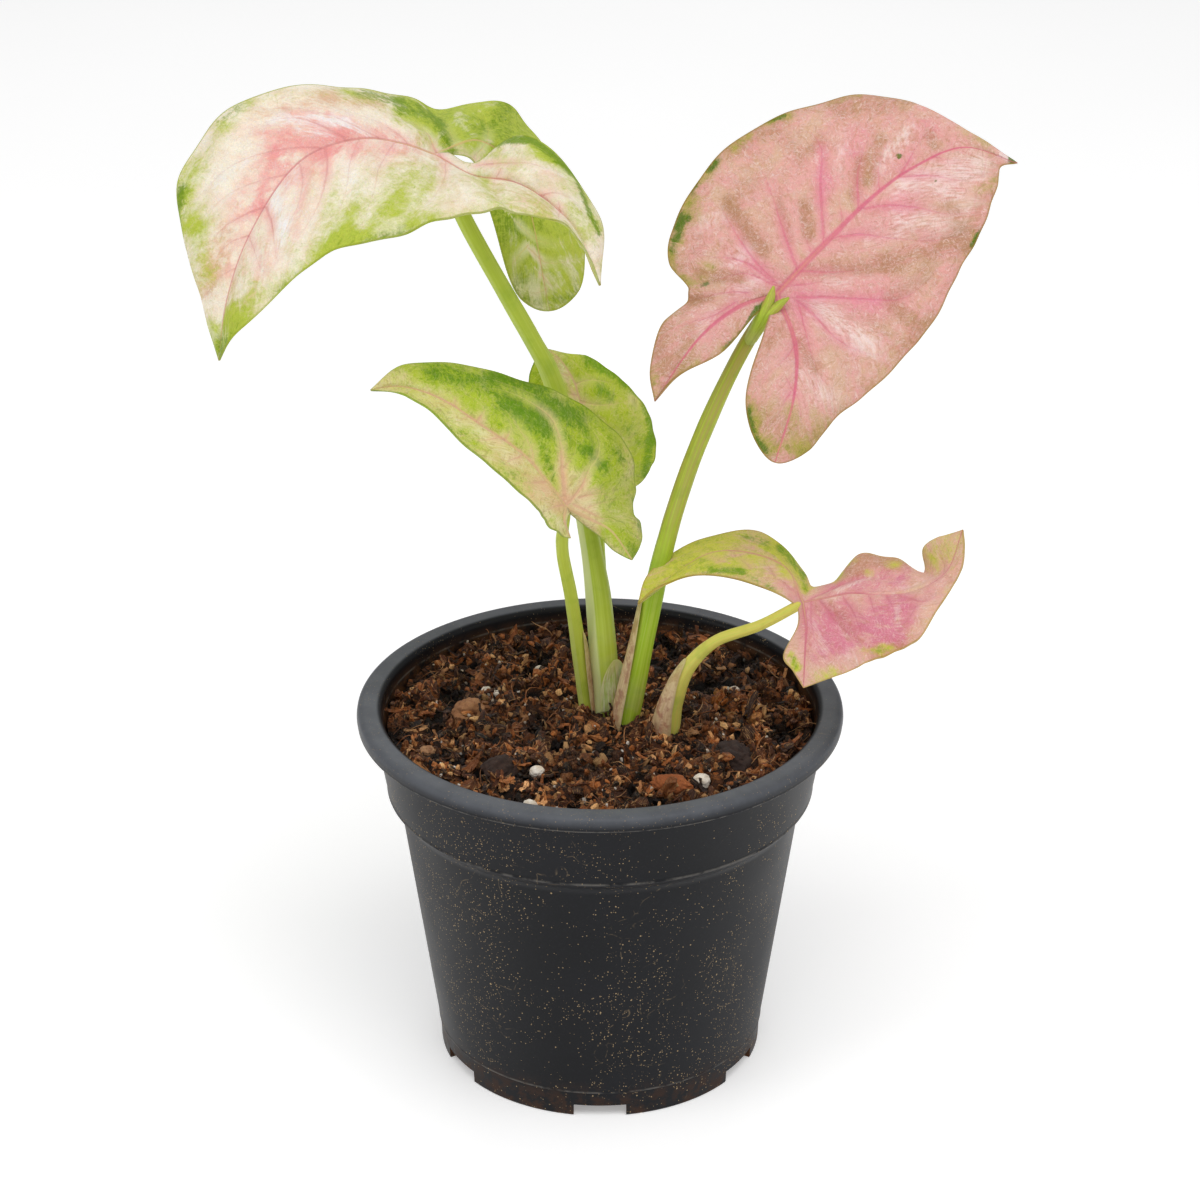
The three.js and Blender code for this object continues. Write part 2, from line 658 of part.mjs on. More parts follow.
// Each stalk stops just short of the blade that it carries
let stems = stemsAndRoots(0);
blades.forEach(([, leaf]) => {
  stems = stems.subtract(toSolid(leafBlade(leaf, bladeThickness + 2 * gap, 2 * gap)));
});
addPiece('stems_and_roots', toGeometry(largestBody(stems)), stalkGreen);
addPiece('potting_mix', toGeometry(largestBody(toSolid(pottingMix()).subtract(sockets))), mixBrown);
addPiece('nursery_pot', toGeometry(nurseryPot()), potPlastic);

export default plant;
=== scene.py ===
import math
import random

import bpy
import bmesh
import numpy as np
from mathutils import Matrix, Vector, noise


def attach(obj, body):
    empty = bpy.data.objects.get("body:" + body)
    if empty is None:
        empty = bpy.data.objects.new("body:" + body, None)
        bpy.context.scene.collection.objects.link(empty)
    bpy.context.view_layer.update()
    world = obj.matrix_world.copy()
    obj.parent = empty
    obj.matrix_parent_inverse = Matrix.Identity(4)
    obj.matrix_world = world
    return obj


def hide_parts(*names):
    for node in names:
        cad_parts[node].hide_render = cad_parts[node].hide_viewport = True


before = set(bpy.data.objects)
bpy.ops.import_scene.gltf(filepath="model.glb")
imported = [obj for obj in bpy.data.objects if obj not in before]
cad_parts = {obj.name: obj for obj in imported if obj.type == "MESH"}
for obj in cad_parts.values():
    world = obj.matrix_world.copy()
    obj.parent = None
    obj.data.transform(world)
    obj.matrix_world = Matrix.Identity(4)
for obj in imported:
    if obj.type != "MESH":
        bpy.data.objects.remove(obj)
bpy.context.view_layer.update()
scene = bpy.context.scene
mm = 0.001
print("frame loaded")

# The leaves lie in a plane that leans back from the front: [across, up, toward] in mm
layout = {"leanBack": math.radians(25.56), "centreHeight": 122.3}
acrossAxis = np.array([1.0, 0.0, 0.0])
upAxis = np.array([0.0, math.sin(layout["leanBack"]), math.cos(layout["leanBack"])])
towardAxis = np.array([0.0, -math.cos(layout["leanBack"]), math.sin(layout["leanBack"])])
layoutCentre = np.array([0.0, 0.0, layout["centreHeight"]])


def place(p):
    return layoutCentre + p[0] * acrossAxis + p[1] * upAxis + p[2] * towardAxis


def toLayout(points):
    offset = points - layoutCentre
    return np.stack([offset[..., 0], offset @ upAxis, offset @ towardAxis], axis=-1)


def smoothCurve(points):
    # A centripetal curve through the points, read at t from 0 to 1
    pts = [np.array(p, dtype=float) for p in points]
    count = len(pts)

    def at(t):
        where = min(max(t, 0.0), 1.0) * (count - 1)
        i = min(int(math.floor(where)), count - 2)
        w = where - i
        p1, p2 = pts[i], pts[i + 1]
        p0 = pts[i - 1] if i > 0 else 2 * p1 - p2
        p3 = pts[i + 2] if i + 2 < count else 2 * p2 - p1
        d0, d1, d2 = (np.sum((a - b) ** 2) ** 0.25 for a, b in ((p0, p1), (p1, p2), (p2, p3)))
        m1 = ((p1 - p0) / d0 - (p2 - p0) / (d0 + d1) + (p2 - p1) / d1) * d1
        m2 = ((p2 - p1) / d1 - (p3 - p1) / (d1 + d2) + (p3 - p2) / d2) * d1
        w2, w3 = w * w, w * w * w
        return (p1 * (2 * w3 - 3 * w2 + 1) + m1 * (w3 - 2 * w2 + w)
                + p2 * (3 * w2 - 2 * w3) + m2 * (w3 - w2))

    return at


def stepped(low, high, x):
    t = np.clip((x - low) / (high - low), 0, 1)
    return t * t * (3 - 2 * t)


def linear(hexColour):
    # A hex colour as linear light
    out = []
    for i in (0, 2, 4):
        c = int(hexColour[i:i + 2], 16) / 255
        out.append(c / 12.92 if c <= 0.04045 else ((c + 0.055) / 1.055) ** 2.4)
    return (*out, 1.0)


def meshPiece(name, points, faces, material, smooth=True, corners=None):
    # points in mm; corners holds one vector for each corner of each face
    mesh = bpy.data.meshes.new(name)
    mesh.from_pydata((np.asarray(points) * mm).tolist(), [], faces)
    for label, values in (corners or {}).items():
        layer = mesh.attributes.new(label, "FLOAT_VECTOR", "CORNER")
        layer.data.foreach_set("vector", np.asarray(values, dtype=np.float32).ravel())
    mesh.polygons.foreach_set("use_smooth", [smooth] * len(mesh.polygons))
    mesh.update()
    piece = bpy.data.objects.new(name, mesh)
    scene.collection.objects.link(piece)
    mesh.materials.append(material)
    return piece


# A short way to write a material's nodes; a hex string stands for its colour
class Shade:
    def __init__(self, name):
        self.material = bpy.data.materials.new(name)
        self.material.use_nodes = True
        self.tree = self.material.node_tree
        self.surface = self.tree.nodes["Principled BSDF"]

    def put(self, kind, settings=None, **links):
        node = self.tree.nodes.new(kind)
        for key, value in (settings or {}).items():
            setattr(node, key, value)
        for key, value in links.items():
            numbered = key[0] == "i" and key[1:].isdigit()
            self.feed(node.inputs[int(key[1:]) if numbered else key], value)
        return node

    def feed(self, socket, value):
        if isinstance(value, bpy.types.NodeSocket):
            self.tree.links.new(value, socket)
        else:
            socket.default_value = linear(value) if isinstance(value, str) else value

    def spot(self):
        return self.put("ShaderNodeTexCoord").outputs["Object"]

    def split(self, vector):
        return self.put("ShaderNodeSeparateXYZ", i0=vector).outputs[:3]

    def read(self, label):
        return self.split(self.put("ShaderNodeAttribute", {"attribute_name": label}).outputs["Vector"])

    def join(self, x, y, z):
        return self.put("ShaderNodeCombineXYZ", i0=x, i1=y, i2=z).outputs[0]

    def maths(self, way, a, b=0.0):
        return self.put("ShaderNodeMath", {"operation": way}, i0=a, i1=b).outputs[0]

    def add(self, a, b):
        return self.maths("ADD", a, b)

    def less(self, a, b):
        return self.maths("SUBTRACT", a, b)

    def times(self, a, b):
        return self.maths("MULTIPLY", a, b)

    def most(self, a, b):
        return self.maths("MAXIMUM", a, b)

    def apart(self, a, b):
        return self.maths("ABSOLUTE", self.less(a, b))

    def ramp(self, value, low, high, start=0.0, end=1.0):
        # Smooth rise from start to end while value goes from low to high
        return self.put("ShaderNodeMapRange", {"interpolation_type": "SMOOTHSTEP"},
                        i0=value, i1=low, i2=high, i3=start, i4=end).outputs[0]

    def noise(self, vector, scale, detail=3.0, rough=0.55, warp=0.0):
        return self.put("ShaderNodeTexNoise", Vector=vector, Scale=scale, Detail=detail,
                        Roughness=rough, Distortion=warp).outputs["Fac"]

    def cells(self, vector, scale, feature="F1"):
        return self.put("ShaderNodeTexVoronoi", {"feature": feature}, Vector=vector,
                        Scale=scale).outputs["Distance"]

    def mix(self, amount, a, b):
        return self.put("ShaderNodeMix", {"data_type": "RGBA"}, i0=amount, i6=a, i7=b).outputs[2]

    def bump(self, height, strength, distance):
        return self.put("ShaderNodeBump", Strength=strength, Distance=distance,
                        Height=height).outputs["Normal"]

    def finish(self, **sockets):
        for key, value in sockets.items():
            self.feed(self.surface.inputs[key.replace("_", " ")], value)
        return self.material


lobeFeet = [0.3, 0.62, 0.88]
bladeFeet = [0.15, 0.35, 0.58, 0.8, 0.93]

largeLeftLeaf = {
    "name": "leaf_blade_large_left", "joint": [-38.3, 102.3, 45.5], "tip": [-85, 53.5, 66],
    "notch": [-34.8, 102.8, 43.5],
    "midrib": [[-44, 104, 49], [-54, 105, 52], [-67, 99.5, 58], [-78, 82, 66], [-83, 66.5, 69]],
    "sides": [{
        "lobeTip": [0, 71, 58], "belly": 3, "rounded": False,
        "vein": [[-29.5, 97, 50], [-18, 94, 56], [-6, 84, 60]],
        "inner": [[-29.5, 100, 47], [-17.5, 106, 48], [-0.5, 88.5, 52]],
        "outer": [[-2.5, 77, 62], [-8.5, 84, 66], [-17.5, 86, 68]],
        "shoulder": [[-24.5, 86.5, 69], [-33.5, 85, 70]],
        "blade": [[-43.5, 81, 72], [-56.5, 78, 74], [-66, 72, 76], [-76, 62.5, 75], [-81.5, 58, 72]],
        "laterals": [[1, [-67, 110.4], [-66.3, 105.8], [-67.3, 99.7], [-69.7, 93.6], [-73.1, 88.5]],
            [0.7, [-73.1, 106.3], [-72.4, 102.1], [-73.6, 96.1], [-76, 91.2]],
            [1, [-81.1, 95.6], [-79.9, 91.4], [-79.4, 87.1], [-78.9, 83.2]],
            [0.7, [-85.3, 88.5], [-83.8, 83.9], [-82.3, 79]],
            [0.6, [-58.5, 112.1], [-60.5, 107], [-61.7, 99.7], [-63.9, 92.4]],
            [0.6, [-50, 111.1], [-53.6, 105.1], [-55.1, 98.5], [-58, 91.2]],
            [0.8, [-39.3, 108.7], [-37.6, 105.1], [-39.1, 100.2], [-42.7, 95.8]],
            [1, [-29.8, 105.8], [-23.2, 106.3], [-16.7, 106.3], [-9.9, 104.1]],
            [0.6, [-24.5, 104.1], [-25.9, 100.7], [-24.5, 97.3]],
            [0.7, [-13.5, 98.5], [-10.8, 99.2], [-6.2, 97.3], [-3.1, 93.6]],
            [0.6, [-9.9, 95.3], [-9.9, 91.9], [-6.2, 87.5]]],
        "green": [[-76.7, 75.4, -63.4, 86.3, 3.6, 0.6], [-65.8, 87.5, -48.8, 93.6, 7, 0.33],
            [-63.4, 99.7, -41.5, 101, 8, 0.24], [-85.2, 90, -91.3, 68, 6, 0.3], [-26, 101, -6, 92, 7, 0.42],
            [-63.4, 87.2, -41.5, 91, 2.6, 0.46], [-41.5, 91.2, -29.3, 94.4, 1.5, 0.15],
            [-58.5, 93.6, -43.9, 97.3, 5.3, 0.26], [-65.8, 97.3, -60.9, 87.5, 3.4, 0.22],
            [-52.4, 104.6, -39.1, 103.3, 3.9, 0.19], [-82.8, 75.4, -88.9, 68.1, 3.8, 0.37],
            [-90.5, 65, -91.5, 58, 4.5, 1.2], [-29.8, 108.2, -24.5, 111.4, 1.2, 0.5],
            [-24.5, 111.4, -17.2, 111.9, 1.2, 0.56], [-17.2, 111.4, -5, 102.1, 1.5, 1],
            [-5, 102.1, -0.6, 90, 1, 0.56], [-24.5, 107, -13.5, 107.5, 2.6, 0.37],
            [-29.3, 103.3, -24.5, 97.3, 2.4, 0.25], [-8, 101, -3, 88, 2.6, 0.31],
            [-0.6, 81.5, -0.1, 77.8, 1.9, 0.37], [-79.2, 88.8, -75.5, 85.1, 2.2, 0.19]],
        "deep": [[-56.1, 87.5, -42.7, 90, 1.2, 0.45], [-80.4, 73.4, -73.1, 79, 1.2, 0.38],
            [-17.2, 111.6, -6.2, 103.3, 0.8, 1.2], [-6.2, 103.3, -0.6, 88.8, 0.6, 1.1],
            [-29.8, 107.7, -24.5, 111.1, 0.8, 1.6], [-24.5, 111.1, -17.2, 111.6, 0.9, 2.2],
            [-91.3, 62, -92, 58, 2.2, 0.6]],
        "blush": [[-65.8, 109.4, -46, 109.5, 4.5, 0.5], [-75.5, 102.1, -65.8, 109.4, 5, 0.45],
            [-73.1, 94.8, -82.3, 80.2, 6, 0.32], [-82.3, 90, -87.7, 73, 4.5, 0.24],
            [-39.1, 107, -36.6, 100.9, 1.9, 0.27], [-24.5, 100.9, -9.9, 91.2, 3.9, 0.41],
            [-14.7, 104.6, -5, 99.7, 2.2, 0.27]],
        "pale": [[-79.2, 99.7, -76.7, 87.5, 2.2, 0.8], [-75.5, 100.9, -73.1, 107, 1.5, 0.4],
            [-60.9, 104.6, -58.5, 97.3, 2.2, 0.35], [-34.2, 105.8, -24.5, 103.3, 1.9, 0.3]],
        "brown": [[-89.6, 77.8, -91.3, 65.7, 2.4, 0.5]],
    }, {
        "lobeTip": [-12, 68.5, 20], "belly": 2, "rounded": True,
        "vein": [[-28.5, 107, 36], [-19, 100, 17]],
        "inner": [[-29.5, 102, 36], [-26.5, 93, 27], [-18.5, 71, 24]],
        "outer": [[-5, 74, 15], [-6, 97, 4], [-16, 112.5, 8]],
        "shoulder": [[-25, 118.5, 18], [-38.5, 115.5, 27]],
        "blade": [[-49.5, 118, 34], [-64, 118.5, 42], [-85, 111.5, 51], [-95, 96, 54], [-91.9, 75.8, 61]],
        "laterals": [[1, [-62.2, 112.3], [-67, 115], [-73.1, 117.2], [-79.2, 117], [-85.3, 114.8]],
            [0.7, [-53.6, 112.1], [-58.5, 114.8], [-64.6, 117.5], [-73.1, 119.6], [-80.4, 119.6]],
            [0.8, [-68.7, 109.9], [-75.5, 109.9], [-84, 108.2], [-91.3, 104.6], [-97.4, 98.5]],
            [0.7, [-75.5, 103.3], [-82.3, 102.1], [-90.1, 99], [-96.2, 93.6]],
            [1, [-81.1, 95.6], [-87, 93.4], [-91.1, 91.2], [-94.5, 87.5]],
            [0.7, [-85.3, 88.5], [-90.1, 86.8], [-94.5, 82.2]],
            [0.6, [-88.2, 80.7], [-92.1, 78.8], [-95.5, 74.9]],
            [0.6, [-46.6, 110.6], [-50, 114.3], [-56.1, 117.2], [-63.4, 119.6]],
            [1, [-40, 108.9], [-41.5, 113.1], [-44.4, 115.5], [-47.6, 116.7]],
            [0.7, [-32, 107], [-35.4, 111.9], [-37.6, 116.2], [-40, 118.7]],
            [0.9, [-31.5, 107], [-28.1, 110.6], [-26.9, 114.3], [-28.4, 117.7]],
            [0.7, [-19.6, 91.2], [-15.2, 87.5], [-9.9, 86.6], [-6.5, 87.5]],
            [0.8, [-17.2, 85.6], [-13.5, 82.2], [-8.7, 82.2], [-5, 83.2]],
            [0.8, [-17.7, 86.1], [-20.8, 82.2], [-22.5, 77.8]],
            [0.7, [-14.5, 79], [-11.8, 76.6], [-8.7, 75.4]],
            [0.6, [-13.5, 75.4], [-15.7, 74.7], [-17.7, 75.4]]],
        "green": [[-101.8, 90, -101.1, 99.7, 1.9, 0.43], [-101.1, 99.7, -91.3, 114.3, 2.4, 0.31],
            [-91.3, 115.5, -86.5, 119.6, 2.4, 0.37], [-85.3, 120.4, -60.9, 123.5, 1.7, 0.22],
            [-60.9, 122.8, -46.3, 120.4, 2.9, 0.5], [-46.3, 119.2, -40.3, 118.7, 2.4, 0.5],
            [-48.8, 117.2, -41.5, 115.5, 2.9, 0.37], [-36.6, 115.5, -19.6, 116.7, 7.3, 1.1],
            [-24.5, 111.9, -13.5, 109.4, 4.9, 1.1], [-98.5, 104, -98, 92, 4.5, 0.36],
            [-96, 90, -93, 78, 5, 0.35], [-40, 105, -52, 96, 7, 0.2], [-98.4, 90, -96, 78, 2.6, 0.28],
            [-24.5, 87.5, -9.9, 75.4, 8.5, 1.3], [-29.3, 93.6, -19.6, 90, 4.9, 1.2],
            [-94.5, 64, -91.5, 58, 4.5, 1.2], [-24, 95, -6, 90, 6, 1.3], [-40, 115, -24, 113, 5, 0.5],
            [-99.8, 82.7, -96.2, 68.1, 1.5, 0.15]],
        # the deep stroke from -38.5, 115.5 to -36.1, 109.4 is painted shade along the crease beside the swell
        # near the joint
        "deep": [[-58.5, 122.8, -48.8, 120.9, 1.5, 0.68], [-48.8, 119.2, -39.1, 116.7, 1.7, 0.6],
            [-38.5, 115.5, -36.1, 109.4, 1.6, 0.75], [-102.3, 93.6, -100.8, 99.7, 1.4, 0.9],
            [-92.1, 116.7, -87.7, 119.6, 1.5, 0.45], [-29.3, 114.3, -24.5, 117.9, 2.4, 0.3],
            [-24.5, 120.4, -20.8, 119.2, 1.5, 0.45], [-24.5, 80.2, -17.2, 73, 3.4, 0.38],
            [-9.9, 73, -6.2, 74.2, 1.9, 0.38], [-91.3, 62, -92, 58, 2.2, 0.6]],
        "blush": [[-80.4, 111.9, -65.8, 111.9, 5.5, 0.48], [-65.8, 114.3, -46, 111.9, 3, 0.54],
            [-78, 107, -82.3, 96.1, 5.5, 0.54], [-85.3, 97.3, -88.9, 82.7, 6.5, 0.3],
            [-93.8, 87.5, -93.8, 70.5, 4.5, 0.25], [-75.5, 118.7, -60.9, 117.2, 3, 0.45],
            [-43.9, 115.5, -41, 110.6, 1.5, 0.45]],
        "pale": [[-79.2, 117.2, -62.2, 116.2, 1.5, 1], [-62.2, 116.2, -56.1, 113.1, 1, 0.8],
            [-73.1, 113.8, -65.8, 113.1, 1.2, 0.6], [-93.8, 100.9, -85.3, 107, 1.9, 0.35]],
        # the brown stroke from -37.5, 113.5 to -36, 109 is painted shade along the same crease
        "brown": [[-65.8, 121.6, -53.6, 120.4, 2.2, 0.7], [-91, 89, -95.5, 76, 4, 0.6],
            [-84, 118, -66, 121.5, 2, 0.5], [-37.5, 113.5, -36, 109, 1, 0.9]],
    }],
    "steps": 18, "rings": 46, "quilt": 0.75, "wave": 0.5, "bend": 1.1, "seed": 3, "paint": "creamPinkLeaf",
    # swells and hollows of the blade: across, up, radius, height in mm
    "swells": [[-40, 109.5, 5, 2.8], [-60, 109, 9, 1.3], [-72, 90, 8, -0.8], [-52, 92, 10, 1],
        [-66, 84, 7, 0.9], [-22, 90, 6, 0.7]],
}

middleLeaf = {
    "name": "leaf_blade_middle", "joint": [-8, 22, 28], "tip": [-52.5, 48, 48],
    "notch": [-7, 20.5, 26],
    "midrib": [[-13, 28.5, 32], [-18, 34, 35], [-27.5, 40.5, 39], [-37, 46.5, 43], [-46, 49, 46]],
    "sides": [{
        "lobeTip": [-7, 14.5, 28], "belly": 1, "rounded": False,
        "vein": [[-8.5, 19, 29], [-8, 17, 29]],
        "inner": [[-7.5, 19.5, 28], [-8, 18, 28], [-7.5, 16, 27]],
        "outer": [[-9, 15, 30], [-10, 16, 32], [-12, 17, 34]],
        "shoulder": [[-13, 19, 35], [-14.5, 21, 37]],
        "blade": [[-18.5, 25, 40], [-25, 30.5, 43], [-32, 36.5, 46], [-38.5, 43, 48], [-45, 47, 49]],
        "laterals": [[1, [-13.5, 28.7], [-17.7, 28.5], [-21.5, 28.7]],
            [0.8, [-19.6, 34.8], [-22.5, 33.6], [-24.5, 31.1]],
            [0.8, [-24.5, 39.6], [-28.4, 38.9], [-31.8, 39.4]],
            [0.7, [-30.5, 45], [-34.2, 43.8], [-36.6, 42.6]],
            [0.6, [-36.6, 48.1], [-40, 47.9], [-42.7, 48.1]],
            [1, [-8.4, 23.3], [-11.8, 22.4], [-14.3, 21.4]]],
        "green": [[-39.1, 45, -30.5, 38.9, 2.2, 0.5], [-23.2, 31.6, -17.2, 28, 2.4, 0.55],
            [-30.5, 38.9, -24.5, 34, 2.2, 0.25], [-12.3, 20.7, -9.9, 17, 1.9, 0.3],
            [-48.8, 50.6, -41.5, 47.4, 1.9, 0.3], [-43.9, 48.6, -24.5, 26.7, 1.2, 0.2]],
        "deep": [[-37.8, 42.6, -31.8, 38.9, 1.2, 0.4], [-23.7, 31.6, -19.6, 29.2, 1.2, 0.4]],
        "blush": [[-24.5, 35.3, -9.9, 23.1, 3.4, 0.5], [-14.7, 26.7, -18.4, 24.3, 2.4, 0.4],
            [-31.8, 46.2, -24.5, 38.9, 1.2, 0.4]],
        "pale": [[-29.3, 41.3, -22, 34, 2.4, 0.5], [-36.6, 45, -31.8, 41.3, 1.5, 0.4],
            [-13.5, 21.9, -9.9, 18.2, 1.9, 0.5]],
        "brown": [],
    }, {
        "lobeTip": [7.5, 9.5, 20], "belly": 2.5, "rounded": False,
        "vein": [[-2, 19, 26], [2.5, 16.5, 24]],
        "inner": [[-4, 18, 25], [0, 15, 23], [3, 12, 22]],
        "outer": [[9.5, 13.5, 16], [9.5, 18.5, 15], [7.5, 21.5, 15]],
        "shoulder": [[8.5, 27, 15], [7, 35, 17]],
        "blade": [[1.5, 42, 20], [-8.5, 48, 26], [-20, 52, 31], [-33.5, 54.5, 38], [-45.5, 54, 43]],
        "laterals": [[1.5, [-8.7, 24.8], [-9.1, 31.6], [-9.6, 38.9], [-11.8, 44.3],
                      [-16.4, 47.9], [-23.2, 51.1], [-29.8, 51.8]],
            [0.9, [-16, 32.1], [-16.7, 37], [-19.6, 41.8], [-22.5, 45.7], [-26.9, 48.6]],
            [0.8, [-23.2, 38.9], [-21.5, 41.8], [-23.2, 45], [-26.9, 47.9]],
            [0.8, [-29.3, 44.3], [-28.1, 46.2], [-29.8, 48.6], [-33, 50.6]],
            [0.7, [-35.4, 47.4], [-35.4, 49.4], [-37.8, 51.6]],
            [0.6, [-41.5, 50.3], [-42, 52.3], [-43.9, 53.5]],
            [1.3, [-7.9, 23.6], [-4.3, 27.7], [-3.1, 30.6], [-0.1, 36], [-0.6, 40.1], [-3.1, 43.3]],
            [1, [-5, 25], [-0.6, 25.8], [3.3, 25.8]],
            [1.2, [-6.2, 23.1], [-2.6, 21.4], [0.8, 19.9], [4.2, 20.4]],
            [0.7, [-2.6, 22.6], [1.1, 23.8], [4.7, 24.6]], [0.7, [-9.1, 31.6], [-6.2, 35.3], [-5.5, 40.1]]],
        "green": [[-39.1, 54.7, -19.6, 49.9, 4.9, 1], [-19.6, 49.9, -0.1, 41.3, 6.3, 1.1],
            [-2.6, 38.9, 4.7, 26.7, 5.3, 0.7], [-29.3, 48.6, -14.7, 36.5, 4.9, 0.8],
            [-14.7, 34, -9.9, 26.7, 1.9, 0.5], [-48.8, 55.9, -41.5, 54.7, 3.4, 0.5],
            [-0.1, 24.3, 4.7, 19.5, 3.4, 0.4], [2.3, 17, 8.4, 12.2, 3.4, 0.8],
            [-5, 34, -0.1, 31.6, 2.9, 0.7]],
        "deep": [[-41.5, 55.4, -26.9, 52.3, 2.4, 0.6], [-24.5, 54.7, -14.7, 52.3, 2.4, 0.7],
            [-23.2, 47.4, -13.5, 41.3, 2.9, 0.8], [-13.5, 47.4, -5, 43.8, 2.9, 0.8],
            [-2.6, 36.5, -0.1, 32.8, 1.9, 0.7], [-8.7, 38.9, -5, 36.5, 1.5, 0.5],
            [3.5, 36.5, 4.7, 34, 1.2, 0.6], [8.4, 24.3, 9.6, 17, 1, 0.6], [6.7, 13.4, 8.4, 10.9, 1.2, 0.6],
            [-13.5, 36.5, -11.1, 29.2, 1.2, 0.5]],
        "blush": [[-8.4, 24.3, -9.1, 36.5, 1.2, 0.6], [-7.9, 24.3, -0.1, 26.7, 1.9, 0.5],
            [-3.8, 18.2, -0.1, 16.5, 1.5, 0.7], [-2.6, 42.6, 5.9, 36.5, 1.5, 0.4]],
        "pale": [[-13.5, 43.8, -11.1, 38.9, 1.2, 0.5], [-5, 24.3, 3.5, 21.9, 2.2, 0.5],
            [-48.8, 52.3, -39.1, 51.1, 1.5, 0.35], [-29.3, 48.6, -24.5, 43.8, 0.7, 0.4]],
        "brown": [[-19.6, 41.3, -17.2, 38.9, 1.9, 0.4], [-9.9, 48.6, -0.1, 45, 2.2, 0.5],
            [-0.1, 45, 5.9, 38.9, 1.9, 0.5]],
    }],
    "steps": 14, "rings": 36, "quilt": 0.65, "wave": 0.3, "bend": 1, "seed": 9, "paint": "mottledGreenLeaf",
    "swells": [[0, 28, 7, 0.8], [-14, 42, 8, 0.6], [4, 22, 3.5, -1.2]],
}

